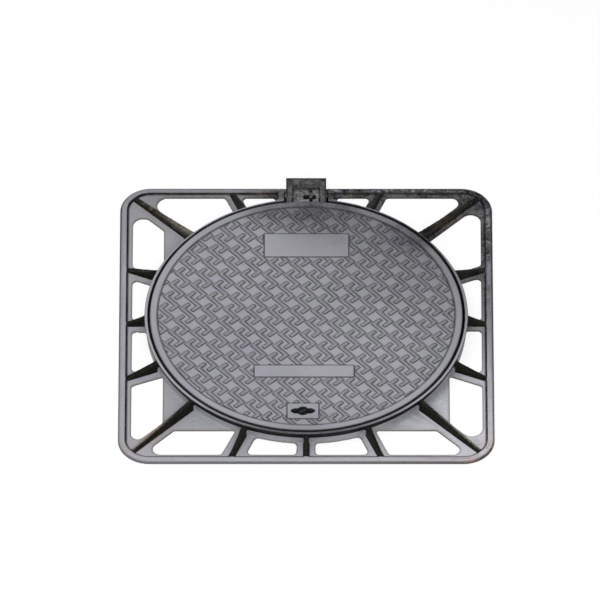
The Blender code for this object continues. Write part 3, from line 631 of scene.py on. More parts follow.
def make_tread():
    centres = marks()
    base = bar_outline()
    outline0 = offset_polygon(base, 0.0, 1.5 * MM)
    levels = [PAINTED_SHADE_OUT, PAINTED_SHADE_MID] + [w for w, _ in WALL] + [-PAINTED_SHADE_IN, -EDGE_HIGHLIGHT_IN]
    pts, edges = [], []

    def add(loop):
        s = len(pts)
        pts.extend(loop)
        edges.extend((s + k, s + (k + 1) % len(loop)) for k in range(len(loop)))

    for d in levels:
        o = offset_polygon(base, d, 1.5 * MM)
        for c in centres:
            add(to_world(o, c))
        for pad in PADS:
            add(pad_loop(pad, d))
            if pad[4]:
                add(pad_loop(pad, pad[4] - d))
        add(circle(0, 0, BAND_IN_R - d, 288))
        add(circle(0, 0, BAND_IN_R - BAND_GAP + d, 288))
    for r in (BAND_IN_R - 3.0 * MM, BAND_IN_R + 3.3 * MM, 0.3250, COVER_R - 3.6 * MM):
        add(circle(0, 0, r, 288))
    R0 = COVER_R - 0.0013
    add(circle(0, 0, R0, 320))
    key_in, key_edge = key_outline(0.0), key_outline(0.9 * MM)
    add(key_in)
    add(key_edge)
    res = delaunay_2d_cdt([Vector(p) for p in pts], edges, [], 0, 2e-6, False)
    xy = np.array([(v.x, v.y) for v in res[0]])
    tri = np.array([f for f in res[2] if len(f) == 3])
    cen = xy[tri].mean(axis=1)
    keep = np.hypot(cen[:, 0], cen[:, 1]) < R0 - 1e-5
    keep &= polygon_sd(cen, key_in) > 0
    tri = tri[keep]
    h, t, t_mark = tread_height(xy, centres, outline0)
    z = FIELD_Z + (TOP_Z - FIELD_Z) * h
    kd = polygon_sd(xy, key_edge)
    z = np.where(kd < -0.05 * MM, TOP_Z - 0.0009, z)      # broken edge round the keyhole
    step = 0.3 * MM
    gx = tread_height(xy + [step, 0], centres, outline0)[1] - t
    gy = tread_height(xy + [0, step], centres, outline0)[1] - t
    gl_ = np.hypot(gx, gy) + 1e-12
    away = -(gx * math.cos(BAR_ANGLE + math.pi) + gy * math.sin(BAR_ANGLE + math.pi)) / gl_
    lit_side = (t_mark >= t - 1e-9) * np.clip(away, 0, 1) ** 2           # lit side of the marks: less painted shade
    north = np.clip(0.5 - 0.8 * gy / gl_, 0, 1)                       # painted shade lies thicker on the sides that face +Y
    t_out, t_in = (2.1 + 1.3 * north) * MM, (1.1 + 1.0 * north) * MM
    painted_shade = np.clip((t_out + t) / (0.8 * MM), 0, 1) * np.clip((t_in - t) / (0.8 * MM), 0, 1)
    painted_shade *= 1 - 0.25 * lit_side
    # painted shade pooled in the inner corner of each mark
    nook = to_world([(-BAR_L / 2 + HOOK_W + 1.2 * MM, BAR_W / 2 + 1.2 * MM)], (0.0, 0.0))[0]
    nook_shade = np.zeros(len(xy))
    for c in centres:
        nook_shade = np.maximum(nook_shade, np.clip(1.35 - np.hypot(xy[:, 0] - c[0] - nook[0], xy[:, 1] - c[1] - nook[1]) / (4.6 * MM), 0, 1))
    painted_shade = np.maximum(painted_shade, 0.62 * nook_shade * (t < 1.2 * MM) * (t_mark >= t - 1e-9))
    # painted shade along the band's inner edge, and in the gap at the cover's rim, weaker towards the back left
    t_band = np.hypot(xy[:, 0], xy[:, 1]) - BAND_IN_R
    painted_shade = np.maximum(painted_shade, 0.85 * np.interp(t_band, [-3.0 * MM, -1.0 * MM, 2.1 * MM, 3.3 * MM], [0.0, 1.0, 1.0, 0.0]))
    nw = np.clip(((xy[:, 1] - xy[:, 0]) / (1.4142 * (t_band + BAND_IN_R) + 1e-9) - 0.60) / 0.35, 0, 1)
    painted_shade = np.maximum(painted_shade, 0.75 * (1 - 0.85 * nw) * np.interp(t_band + BAND_IN_R, [COVER_R - 3.6 * MM, COVER_R - 1.3 * MM], [0.0, 1.0]))
    # painted highlight: a light band along the top edges of the marks, pads and band
    edge = np.clip((EDGE_HIGHLIGHT_IN - t) / (EDGE_HIGHLIGHT_IN - 1.0 * MM), 0, 1) * (t > 0.3 * MM) * (1 - painted_shade)
    top = np.clip((t_mark - 0.2 * MM) / (0.8 * MM), 0, 1) * (t_mark >= t - 1e-9)
    shade = falloff(xy, COVER_SHADE)

    bm = bmesh.new()
    gl = bm.verts.layers.float.new("painted_shade")
    el = bm.verts.layers.float.new("edge")
    ml = bm.verts.layers.float.new("mark")
    sl = bm.verts.layers.float.new("shade")
    used = np.zeros(len(xy), bool)
    used[tri.ravel()] = True
    vs = [None] * len(xy)
    for k in np.where(used)[0]:
        v = bm.verts.new((xy[k, 0], xy[k, 1], z[k]))
        v[gl], v[el], v[ml], v[sl] = float(painted_shade[k]), float(edge[k]), float(top[k]), float(shade[k])
        vs[k] = v
    for a, b, c in tri:
        bm.faces.new((vs[a], vs[b], vs[c]))
    bmesh.ops.recalc_face_normals(bm, faces=bm.faces[:])
    if sum(f.normal.z * f.calc_area() for f in bm.faces) < 0:
        bmesh.ops.reverse_faces(bm, faces=bm.faces[:])

    # sides: outer edge rolls over and goes down with a little draft, the keyhole goes straight down
    BOTTOM = 0.0295
    boundary = [e for e in bm.edges if e.is_boundary]
    outer = [e for e in boundary if math.hypot(e.verts[0].co.x, e.verts[0].co.y) > 0.3]
    inner = [e for e in boundary if math.hypot(e.verts[0].co.x, e.verts[0].co.y) <= 0.3]

    def push(es, moves):
        for r, zz in moves:
            ret = bmesh.ops.extrude_edge_only(bm, edges=es)["geom"]
            es = [g for g in ret if isinstance(g, bmesh.types.BMEdge)]
            for v in {v for e in es for v in e.verts}:
                if r is not None:
                    k = r / math.hypot(v.co.x, v.co.y)
                    v.co.x *= k
                    v.co.y *= k
                v.co.z = zz
                # the side faces get full painted shade and no edge highlight
                v[gl] = 1.0
                v[el] = 0.0
        return es

    rest = push(outer, ((COVER_R - 0.0007, TOP_Z - 0.00025), (COVER_R - 0.0002, TOP_Z - 0.0008), (COVER_R, TOP_Z - 0.0016),
                        (COVER_R - 0.0010, BOTTOM)))
    rest += push(inner, ((None, BOTTOM),))
    bmesh.ops.triangle_fill(bm, edges=rest, use_beauty=True, use_dissolve=False)
    bmesh.ops.recalc_face_normals(bm, faces=bm.faces[:])
    ob = new_object("cover_tread", bm)
    ob.data.set_sharp_from_angle(angle=math.radians(75))
    wn = ob.modifiers.new("wn", "WEIGHTED_NORMAL")
    wn.keep_sharp = True
    wn.weight = 80
    return ob


# ------------------------------------------------------------------ cover: body below the tread
def make_cover_body():
    cut = 0.0295
    prof = [(0.0, 0.0250), (0.3030, 0.0250), (0.3050, 0.0240), (0.3070, 0.0166), (0.3078, 0.0162), (0.3304, 0.0162),
            (0.3312, 0.0168), (0.3334, cut), (0.0, cut)]
    ob = tool(lathe, prof, 256)
    ob.name = "cover_body"
    combine(ob, tool(lathe, [(0.1690, 0.0090), (0.1800, 0.0090), (0.1810, 0.0262), (0.1680, 0.0262)], 192), "UNION")
    bm = bmesh.new()
    for i in range(8):
        tmp = bmesh.new()
        rows = []
        for r, zb in ((0.030, 0.0090), (0.200, 0.0090), (0.240, 0.0155), (0.295, 0.0185), (0.3085, 0.0185)):
            rows.append([tmp.verts.new((x, r, z)) for x, z in
                         ((-0.0042, zb), (0.0042, zb), (0.0056, 0.0262), (-0.0056, 0.0262))])
        tmp.faces.new(rows[0])
        tmp.faces.new(list(reversed(rows[-1])))
        for a, b in zip(rows[:-1], rows[1:]):
            for k in range(4):
                m = (k + 1) % 4
                tmp.faces.new((a[k], b[k], b[m], a[m]))
        bmesh.ops.recalc_face_normals(tmp, faces=tmp.faces[:])
        rotated(tmp, bm, i * math.pi / 4)
    combine(ob, new_object("tool", bm), "UNION")
    combine(ob, tool(prism, circle(0, 0, 0.042, 64), 0.0075, 0.0270), "UNION")
    combine(ob, tool(prism, circle(LOCK_X, LOCK_Y, 0.0160, 48), 0.0122, 0.0280), "UNION")
    combine(ob, tool(prism, rect(LOCK_X - 0.0315, LOCK_X + 0.0315, LOCK_Y - 0.0130, LOCK_Y + 0.0130), 0.0195, 0.0280), "UNION")
    arc0 = math.radians(189.93)
    arm = [(0.3200, 0.0190)]
    for k in range(25):                                   # round about the pin, so that it clears the box all the way open
        a = arc0 + (math.radians(450) - arc0) * k / 24
        arm.append((PIN_Y + ARM_R * math.cos(a), PIN_Z + ARM_R * math.sin(a)))
    arm += [(0.3325, TOP_Z), (0.3325, cut - 0.0002), (0.3200, cut - 0.0002)]
    for x0, x1 in ARM_SPANS:
        combine(ob, tool(prism, arm, x0, x1, "X"), "UNION")
    combine(ob, tool(prism, rect(-0.0060, 0.0205, 0.3410, 0.3520), 0.0310, 0.0500), "DIFFERENCE")
    combine(ob, tool(prism, circle(PIN_Y, PIN_Z, 0.0070, 32), -0.035, 0.035, "X"), "DIFFERENCE")
    combine(ob, tool(prism, key_outline(0.0), 0.0270, 0.0450), "DIFFERENCE")
    combine(ob, tool(prism, circle(LOCK_X, LOCK_Y, KEY_R, 48), 0.0230, 0.0450), "DIFFERENCE")
    combine(ob, tool(prism, circle(LOCK_X, LOCK_Y, 0.0110, 48), 0.0050, 0.0240), "DIFFERENCE")
    cast(ob, 0.0017, 3, 150000)
    co, no = coords(ob), normals(ob)
    d = 0.00022 * fractal(co, 40.0, 43) + 0.00012 * fractal(co, 240.0, 51)
    d[(co[:, 2] > cut - 0.002) & (np.hypot(co[:, 0], co[:, 1]) < 0.334)] = 0.0
    co = co + no * d[:, None]
    inside = np.hypot(co[:, 0], co[:, 1]) < 0.3318
    co[inside, 2] = np.minimum(co[inside, 2], cut)
    set_coords(ob, co)
    return ob


# ------------------------------------------------------------------ materials
class Nodes:
    """Small helper to write node trees."""

    def __init__(self, name):
        self.mat = bpy.data.materials.new(name)
        self.mat.use_nodes = True
        self.t = self.mat.node_tree
        self.b = self.t.nodes["Principled BSDF"]
        self.coord = self.t.nodes.new("ShaderNodeTexCoord")

    def link(self, a, b):
        self.t.links.new(a, b)

    def noise(self, scale, detail=3.0, rough=0.55, distortion=0.0, offset=(0, 0, 0), stretch=(1, 1, 1)):
        m = self.t.nodes.new("ShaderNodeMapping")
        m.inputs["Location"].default_value = offset
        m.inputs["Scale"].default_value = stretch
        self.link(self.coord.outputs["Object"], m.inputs["Vector"])
        n = self.t.nodes.new("ShaderNodeTexNoise")
        n.inputs["Scale"].default_value = scale
        n.inputs["Detail"].default_value = detail
        n.inputs["Roughness"].default_value = rough
        n.inputs["Distortion"].default_value = distortion
        self.link(m.outputs["Vector"], n.inputs["Vector"])
        return n.outputs["Fac"]

    def voronoi(self, scale, offset=(0, 0, 0)):
        m = self.t.nodes.new("ShaderNodeMapping")
        m.inputs["Location"].default_value = offset
        self.link(self.coord.outputs["Object"], m.inputs["Vector"])
        n = self.t.nodes.new("ShaderNodeTexVoronoi")
        n.inputs["Scale"].default_value = scale
        self.link(m.outputs["Vector"], n.inputs["Vector"])
        return n.outputs["Distance"]

    def attr(self, name):
        n = self.t.nodes.new("ShaderNodeAttribute")
        n.attribute_name = name
        return n.outputs["Fac"]

    def step(self, v, lo, hi, out0=0.0, out1=1.0):
        n = self.t.nodes.new("ShaderNodeMapRange")
        n.interpolation_type = "SMOOTHSTEP"
        n.inputs["From Min"].default_value = lo
        n.inputs["From Max"].default_value = hi
        n.inputs["To Min"].default_value = out0
        n.inputs["To Max"].default_value = out1
        self.link(v, n.inputs["Value"])
        return n.outputs["Result"]

    def math(self, op, a, b, clamp=False):
        n = self.t.nodes.new("ShaderNodeMath")
        n.operation = op
        n.use_clamp = clamp
        for i, v in enumerate((a, b)):
            if v is None:
                continue
            if isinstance(v, (int, float)):
                n.inputs[i].default_value = v
            else:
                self.link(v, n.inputs[i])
        return n.outputs[0]

    def mix(self, fac, a, b, kind="MIX"):
        n = self.t.nodes.new("ShaderNodeMix")
        n.data_type = "RGBA"
        n.blend_type = kind
        n.clamp_factor = True
        if isinstance(fac, (int, float)):
            n.inputs[0].default_value = fac
        else:
            self.link(fac, n.inputs[0])
        for i, v in ((6, a), (7, b)):
            if isinstance(v, (tuple, list)):
                n.inputs[i].default_value = (v[0], v[1], v[2], 1.0)
            else:
                self.link(v, n.inputs[i])
        return n.outputs[2]

    def up(self):
        """Object-space normal's Z."""
        s = self.t.nodes.new("ShaderNodeSeparateXYZ")
        self.link(self.coord.outputs["Normal"], s.inputs[0])
        return s.outputs["Z"]

    def z(self):
        s = self.t.nodes.new("ShaderNodeSeparateXYZ")
        self.link(self.coord.outputs["Object"], s.inputs[0])
        return s.outputs["Z"]

    def color(self, c):
        self.link(c, self.b.inputs["Base Color"])

    def rough(self, r):
        self.link(r, self.b.inputs["Roughness"])

    def bump(self, height, distance, strength=1.0):
        n = self.t.nodes.new("ShaderNodeBump")
        n.inputs["Distance"].default_value = distance
        n.inputs["Strength"].default_value = strength
        self.link(height, n.inputs["Height"])
        self.link(n.outputs["Normal"], self.b.inputs["Normal"])


RUST_DARK, RUST_LIGHT, RUST_PALE = (0.055, 0.022, 0.009), (0.22, 0.085, 0.030), (0.42, 0.30, 0.21)


def cover_paint():
    m = Nodes("cover_paint")
    large = m.noise(5.5, 2.0, 0.5)
    mid = m.noise(26.0, 4.0, 0.6, 0.4)
    grain = m.noise(620.0, 4.0, 0.65)
    fine = m.noise(190.0, 4.0, 0.6, 0.3, (3, 1, 2))
    base = m.mix(m.step(large, 0.40, 0.62), (0.270, 0.271, 0.302), (0.298, 0.299, 0.328))
    tint = m.noise(15.0, 3.0, 0.6, 0.6, (4.0, 2.0, 0.0))
    base = m.mix(m.step(tint, 0.55, 0.70, 0.0, 0.60), base, (0.258, 0.246, 0.325))
    base = m.mix(m.step(tint, 0.44, 0.30, 0.0, 0.55), base, (0.258, 0.288, 0.262))
    base = m.mix(m.step(mid, 0.35, 0.70, 0.0, 0.25), base, (0.23, 0.232, 0.240))
    base = m.mix(m.step(grain, 0.35, 0.72, 0.0, 0.35), base, (0.20, 0.202, 0.210))
    mark = m.math("MULTIPLY", m.attr("mark"), m.step(fine, 0.25, 0.72, 0.85, 0.45))
    base = m.mix(mark, base, (0.150, 0.151, 0.162))
    # painted shade round the marks, in their nooks, at the band edge and in the rim gap
    painted_shade = m.math("MULTIPLY", m.attr("painted_shade"), m.step(mid, 0.25, 0.65, 1.0, 0.72))
    painted_shade = m.math("MULTIPLY", painted_shade, m.step(fine, 0.25, 0.7, 1.0, 0.80), True)
    col = m.mix(m.math("MULTIPLY", painted_shade, 0.96), base, (0.022, 0.022, 0.026))
    # painted highlight on the top edges of the marks
    col = m.mix(m.math("MULTIPLY", m.attr("edge"), m.step(fine, 0.40, 0.68, 0.0, 0.35)), col, (0.40, 0.405, 0.42))
    # steep walls near-black: painted shade
    steep = m.step(m.up(), 0.80, 0.35)
    col = m.mix(m.math("MULTIPLY", steep, 0.90), col, (0.022, 0.022, 0.026))
    shade = m.math("MULTIPLY", m.attr("shade"), m.step(fine, 0.25, 0.75, 1.12, 0.80))
    shade = m.math("MULTIPLY", shade, m.step(mid, 0.25, 0.75, 1.15, 0.80), True)
    m.color(m.mix(shade, col, (0.012, 0.012, 0.015)))
    m.rough(m.step(m.noise(60.0, 3.0, 0.6), 0.3, 0.7, 0.42, 0.60))
    m.b.inputs["Specular IOR Level"].default_value = 0.35
    h = m.math("ADD", m.math("MULTIPLY", grain, 0.35), fine)
    m.bump(h, 0.00035, 0.8)
    return m.mat


def underside_paint():
    """Black dip coat on the cover's underside and hinge arms, with rust bleeding through."""
    m = Nodes("underside_paint")
    large = m.noise(9.0, 3.0, 0.55)
    mid = m.noise(55.0, 5.0, 0.62, 0.6)
    grain = m.noise(480.0, 4.0, 0.65)
    base = m.mix(m.step(large, 0.35, 0.65), (0.030, 0.030, 0.031), (0.060, 0.060, 0.060))
    base = m.mix(m.step(grain, 0.45, 0.75, 0.0, 0.6), base, (0.105, 0.105, 0.105))
    rust = m.math("MULTIPLY", m.step(mid, 0.60, 0.74), m.step(large, 0.42, 0.62))
    col = m.mix(rust, base, m.mix(m.step(grain, 0.4, 0.7), RUST_DARK, RUST_LIGHT))
    # the arms' upper faces: worn patches showing grey through the dark dip coat
    grey = m.math("MULTIPLY", m.step(m.up(), 0.35, 0.85), m.step(m.z(), 0.027, 0.032))
    blot = m.noise(95.0, 4.0, 0.62, 1.2, (0, 0, 3))
    top = m.mix(m.step(blot, 0.42, 0.62), (0.028, 0.028, 0.028), (0.165, 0.166, 0.170))
    top = m.mix(m.step(m.noise(300.0, 3.0, 0.6), 0.45, 0.7, 0.0, 0.6), top, (0.05, 0.05, 0.047))
    col = m.mix(grey, col, top)
    col = m.mix(m.attr("worn"), col, (0.30, 0.31, 0.33))
    # near-black in the slot between the arms and in the keyhole: painted shade, with less reflection
    col = m.mix(m.attr("dark"), col, (0.004, 0.004, 0.004))
    m.color(col)
    m.link(m.math("SUBTRACT", 0.5, m.math("MULTIPLY", m.attr("dark"), 0.42)), m.b.inputs["Specular IOR Level"])
    m.rough(m.step(mid, 0.3, 0.7, 0.50, 0.72))
    m.bump(m.math("ADD", m.math("MULTIPLY", grain, 0.5), mid), 0.0006, 0.8)
    return m.mat


def frame_paint():
    m = Nodes("frame_paint")
    large = m.noise(6.0, 2.0, 0.5, 0.0, (2, 5, 1))
    mid = m.noise(34.0, 4.0, 0.6, 0.5)
    fine = m.noise(170.0, 4.0, 0.62, 0.3)
    grain = m.noise(650.0, 3.0, 0.6)
    top = m.mix(m.step(large, 0.38, 0.64), (0.285, 0.285, 0.316), (0.312, 0.312, 0.342))
    # painted light: paler plates at the front right against the ring's cast shadow
    top = m.mix(m.attr("painted_fill_light"), top, (0.480, 0.480, 0.530))
    tint = m.noise(11.0, 3.0, 0.6, 0.6, (1.0, 7.0, 0.0))
    top = m.mix(m.step(tint, 0.56, 0.72, 0.0, 0.6), top, (0.290, 0.275, 0.360))
    top = m.mix(m.step(tint, 0.42, 0.28, 0.0, 0.5), top, (0.265, 0.315, 0.325))
    top = m.mix(m.step(mid, 0.42, 0.78, 0.0, 0.30), top, (0.20, 0.198, 0.205))
    top = m.mix(m.step(grain, 0.40, 0.75, 0.0, 0.30), top, (0.17, 0.17, 0.175))
    # upward faces grey, steep faces near-black: a painted reflection of the overhead light on the tops and painted
    # shade on the walls
    side = m.mix(m.step(fine, 0.35, 0.72), (0.004, 0.004, 0.004), (0.012, 0.012, 0.010))
    up = m.step(m.math("ADD", m.up(), m.step(mid, 0.2, 0.8, -0.06, 0.06)), 0.62, 0.93)
    col = m.mix(up, side, top)
    # painted light: the lit top colour put on the lower ring wall, seat wall and bead edge
    col = m.mix(m.math("MULTIPLY", m.attr("painted_lit_wall"), m.step(fine, 0.25, 0.7, 1.0, 0.82)), col, top)
    # window edges and other thin places show a tan primer
    tan = m.math("MULTIPLY", m.attr("tan"), m.step(fine, 0.25, 0.7, 1.0, 0.55))
    col = m.mix(m.math("MULTIPLY", tan, 0.80), col, (0.150, 0.138, 0.112))
    # ribs: black dip coat, worn to olive grey streaks on top
    streak = m.noise(46.0, 4.0, 0.65, 1.4, (5, 2, 1))
    rib = m.mix(m.step(fine, 0.35, 0.75), (0.003, 0.003, 0.002), (0.013, 0.012, 0.008))
    worn = m.math("MULTIPLY", m.step(streak, 0.50, 0.68), m.step(m.up(), 0.55, 0.90))
    rib = m.mix(m.math("MULTIPLY", worn, m.attr("wornrib")), rib, (0.130, 0.124, 0.090))
    # olive grey on the half of the front ribs' top that turns from the front: partly wear, partly painted light
    worn_and_lit = m.math("MULTIPLY", m.attr("worn_and_lit"), m.math("MAXIMUM", m.step(m.up(), 0.45, 0.80), m.attr("flank")))
    rib = m.mix(m.math("MULTIPLY", worn_and_lit, m.step(streak, 0.30, 0.60, 0.65, 1.0)), rib, (0.190, 0.175, 0.150))
    col = m.mix(m.attr("rib"), col, rib)
    # painted shade in the recesses, under the lip and on the bead's edge
    recess_shade = m.math("MULTIPLY", m.attr("painted_shade"), m.step(mid, 0.25, 0.7, 1.0, 0.85), True)
    col = m.mix(recess_shade, col, (0.006, 0.006, 0.007))
    # thin rust along the edges and in patches
    rust = m.math("MULTIPLY", m.attr("rust"), m.step(m.math("ADD", mid, m.math("MULTIPLY", fine, 0.6)), 0.55, 0.92))
    shade = m.mix(m.step(fine, 0.38, 0.66), RUST_LIGHT, RUST_PALE)
    shade = m.mix(m.step(mid, 0.58, 0.70), shade, RUST_DARK)
    col = m.mix(m.math("MULTIPLY", rust, 0.75), col, shade)
    dark = m.math("MULTIPLY", m.attr("shade"), m.step(fine, 0.28, 0.72, 1.14, 0.84))
    dark = m.math("MULTIPLY", dark, m.step(mid, 0.28, 0.72, 1.10, 0.91), True)
    col = m.mix(dark, col, m.mix(m.step(mid, 0.40, 0.62), (0.006, 0.006, 0.008), (0.016, 0.015, 0.008)))
    # painted highlight: glossy light streaks on the shaded parts, mostly on upward faces, not on the ribs
    highlight_noise = m.noise(27.0, 3.0, 0.55, 1.8, (3, 1, 4))
    painted_highlight = m.math("MULTIPLY", m.math("MULTIPLY", m.step(highlight_noise, 0.50, 0.60), m.attr("shade")), m.step(m.up(), 0.60, 0.95, 0.05, 0.85))
    painted_highlight = m.math("MULTIPLY", painted_highlight, m.attr("highlight_zone"))
    painted_highlight = m.math("MULTIPLY", painted_highlight, m.math("SUBTRACT", 1.0, m.attr("rib")))
    col = m.mix(painted_highlight, col, (0.225, 0.228, 0.270))
    m.color(col)
    m.rough(m.math("MULTIPLY", m.step(mid, 0.3, 0.7, 0.40, 0.60), m.math("SUBTRACT", 1.0, m.math("MULTIPLY", dark, 0.25))))
    m.link(m.math("SUBTRACT", 0.32, m.math("MULTIPLY", m.math("MAXIMUM", m.math("MAXIMUM", recess_shade, dark), m.math("MULTIPLY", m.attr("rib"), 0.85)), 0.28)), m.b.inputs["Specular IOR Level"])
    m.bump(m.math("ADD", m.math("MULTIPLY", grain, 0.4), fine), 0.00045, 0.8)
    return m.mat


def box_paint():
    """Rough bitumen-dipped block: nearly black with worn grey patches."""
    m = Nodes("hinge_box_paint")
    blot = m.noise(75.0, 4.0, 0.62, 1.2)
    mid = m.noise(160.0, 4.0, 0.65, 0.6, (2, 0, 1))
    grain = m.noise(900.0, 3.0, 0.6)
    base = m.mix(m.step(blot, 0.40, 0.64), (0.012, 0.012, 0.012), (0.088, 0.089, 0.088))
    base = m.mix(m.step(mid, 0.50, 0.70, 0.0, 0.7), base, (0.045, 0.045, 0.038))
    base = m.mix(m.step(grain, 0.50, 0.72, 0.0, 0.4), base, (0.170, 0.170, 0.168))
    # side faces near-black: painted shade; upward faces and the inner wall keep the mottled top colour
    side = m.mix(m.step(mid, 0.4, 0.7), (0.006, 0.006, 0.006), (0.016, 0.016, 0.013))
    inner = m.attr("inner")
    col = m.mix(m.math("MAXIMUM", m.step(m.up(), 0.45, 0.92), inner), side, base)
    col = m.mix(m.attr("rim"), col, (0.006, 0.006, 0.006))
    m.color(col)
    m.rough(m.step(blot, 0.3, 0.7, 0.45, 0.75))
    m.bump(m.math("ADD", mid, m.math("MULTIPLY", grain, 0.3)), 0.0007, 0.9)
    return m.mat


def steel(name, base, dark, rough0, rough1, metallic=1.0, stretch=(1, 1, 1)):
    m = Nodes(name)
    a = m.noise(240.0, 4.0, 0.6, 0.4, (0, 0, 0), stretch)
    b = m.noise(1400.0, 3.0, 0.6, 0.0, (1, 0, 0), stretch)
    col = m.mix(m.step(a, 0.35, 0.70), base, dark)
    col = m.mix(m.step(b, 0.45, 0.75, 0.0, 0.3), col, tuple(c * 0.6 for c in dark))
    m.color(col)
    m.b.inputs["Metallic"].default_value = metallic
    m.rough(m.step(a, 0.3, 0.7, rough0, rough1))
    m.bump(b, 0.0001, 0.6)
    return m.mat


def rubber():
    m = Nodes("seal_rubber")
    a = m.noise(120.0, 3.0, 0.6)
    b = m.noise(900.0, 3.0, 0.6)
    m.color(m.mix(m.step(a, 0.35, 0.7), (0.012, 0.012, 0.013), (0.030, 0.030, 0.031)))
    m.rough(m.step(b, 0.3, 0.7, 0.62, 0.86))
    m.bump(b, 0.0002, 0.6)
    return m.mat


def nylon():
    m = Nodes("washer_nylon")
    a = m.noise(180.0, 3.0, 0.6)
    m.color(m.mix(m.step(a, 0.35, 0.7), (0.055, 0.055, 0.057), (0.028, 0.028, 0.030)))
    m.rough(m.step(a, 0.3, 0.7, 0.42, 0.58))
    m.bump(m.noise(700.0, 2.0), 0.0001, 0.5)
    return m.mat


# ------------------------------------------------------------------ build the pieces
frame_body = make_frame()
frame_body.name = "frame_body"
frame_body.data.materials.clear()
frame_body.data.materials.append(frame_paint())

co = coords(frame_body)
no = normals(frame_body)
rr = np.hypot(co[:, 0], co[:, 1])
def band(v, *stops):
    """Piecewise linear value along v: stops are (position, value)."""
    return np.interp(v, [q[0] for q in stops], [q[1] for q in stops])


def edge_distance(p):
    """Distance inwards from the frame's outer edge."""
    k = HALF - CORNER_R
    q = np.abs(p[:, :2]) - k
    out = np.hypot(np.maximum(q[:, 0], 0), np.maximum(q[:, 1], 0)) + np.minimum(np.maximum(q[:, 0], q[:, 1]), 0)
    return CORNER_R - out


ed = edge_distance(co)
zz = co[:, 2]
# painted shade: seat wall, ring wall below the lip, the lip's front, the bead's outer edge (darker towards the back and
# right), channel inside the bead
nw = np.clip(((co[:, 1] - co[:, 0]) / (1.4142 * rr) - 0.60) / 0.35, 0, 1)
g = np.clip((0.3384 - rr) / 0.0008, 0, 1) * (zz < TOP_Z - 0.0006) * (1 - 0.8 * nw)
g = np.maximum(g, (rr > 0.33) * (rr < 0.3470) * band(zz, (0.0185, 0), (0.0205, 1), (0.0338, 1), (0.0352, 0)))
south = np.clip((-co[:, 1] / rr - 0.72) / 0.26, 0, 1)
g = np.maximum(g, 0.80 * south * (rr > 0.3380) * (rr < 0.3465) * (zz > 0.0330))
g = np.maximum(g, 0.8 * (1 - nw) * band(rr, (0.3384, 1), (0.3400, 0)) * (rr > 0.336) * (zz > 0.0330))
bead_edge_shade = np.clip(0.30 + 0.65 * np.clip((co[:, 1] - 0.22) / 0.16, 0, 1) + 0.40 * np.clip((co[:, 0] - 0.25) / 0.12, 0, 1), 0, 0.95)
rim_edge = band(ed, (0.0, 1), (0.0034, 0.95), (0.0056, 0)) * (zz > 0.0005)
g = np.maximum(g, rim_edge * bead_edge_shade)
g = np.maximum(g, band(ed, (0.0142, 0), (0.0152, 1), (0.0189, 1), (0.0202, 0)) * (rr > 0.347))
point_attribute(frame_body, "painted_shade", g)
rib = (rr > 0.3458) * (ed > 0.0168) * band(zz, (0.0056, 0), (0.0070, 1))
bay = (np.abs(co[:, 0]) < 0.0640) & (co[:, 1] > 0.33)
rib[bay] = 0.0
point_attribute(frame_body, "rib", rib)
# painted light: the lower ring wall, the bead's outer edge where it is not shaded and the seat wall at the back left
# take the lit top colour
painted_lit_wall = (rr > 0.335) * (rr < 0.3450) * band(zz, (0.0050, 1), (0.0180, 1), (0.0198, 0))
painted_lit_wall = np.maximum(painted_lit_wall, rim_edge * (1 - bead_edge_shade) * 0.75)
painted_lit_wall = np.maximum(painted_lit_wall, 0.7 * nw * (rr > 0.3340) * (rr < 0.3384) * (zz > 0.0200))
point_attribute(frame_body, "painted_lit_wall", painted_lit_wall)
cross = (np.abs(co[:, 0]) - np.abs(co[:, 1])) / 1.4142            # across the diagonal ribs
on_diagonal = np.abs(cross) < 0.0140
strip = band(cross, (0.0004, 0), (0.0020, 1))                      # the half of the rib's top that turns from the front
# lighter olive grey on that half of the front ribs: partly wear, partly painted light
worn_and_lit = on_diagonal * (co[:, 1] < 0) * strip * band(rr, (0.385, 0.10), (0.460, 1))
worn_and_lit = np.maximum(worn_and_lit, on_diagonal * (co[:, 1] > 0) * (co[:, 0] < 0) * band(rr, (0.350, 0.62), (0.430, 0.35), (0.460, 0)))
point_attribute(frame_body, "flank", on_diagonal * (co[:, 1] > 0) * (co[:, 0] < 0) * (zz > 0.0100) * band(rr, (0.375, 0.85), (0.430, 0)))
point_attribute(frame_body, "worn_and_lit", worn_and_lit)
point_attribute(frame_body, "wornrib", np.clip((co[:, 1] - 0.05) / 0.15, 0, 1))
tan = np.zeros(len(co))
flat = np.where((zz < 0.0062) & (rr > 0.325))[0]
for i in range(RIB_COUNT):
    o = window_outline(i)
    sd = polygon_sd(co[flat], o)
    tan[flat] = np.maximum(tan[flat], band(sd, (-0.0005, 1.0), (0.0030, 0.85), (0.0046, 0.0)))
tan = np.maximum(tan, (rr > 0.3440) * (rr < 0.3462) * (zz > 0.030) * np.clip(-co[:, 0] / 0.3, 0, 1) * 0.7)
point_attribute(frame_body, "tan", tan)
SPOTS = (  # x, y, radius, strength: where the paint has worn to rust
    (-0.326, -0.314, 0.026, 0.85), (-0.345, -0.330, 0.020, 0.5), (-0.392, -0.270, 0.060, 0.25), (-0.385, -0.372, 0.050, 0.20),
    (0.388, -0.352, 0.024, 0.65), (0.352, -0.393, 0.026, 0.50), (-0.075, 0.395, 0.024, 0.8), (0.280, 0.290, 0.040, 0.3),
    (-0.310, 0.330, 0.04, 0.15), (-0.395, 0.10, 0.05, 0.2))
r = np.zeros(len(co))
for x, y, rad, s in SPOTS:
    r = np.maximum(r, s * np.clip(1.15 - np.hypot(co[:, 0] - x, co[:, 1] - y) / rad, 0, 1))
r *= 1 - on_diagonal * (co[:, 1] < 0) * (zz > 0.0070) * (rr > 0.3458) * (ed > 0.0168) * (1 - strip)
point_attribute(frame_body, "rust", r)
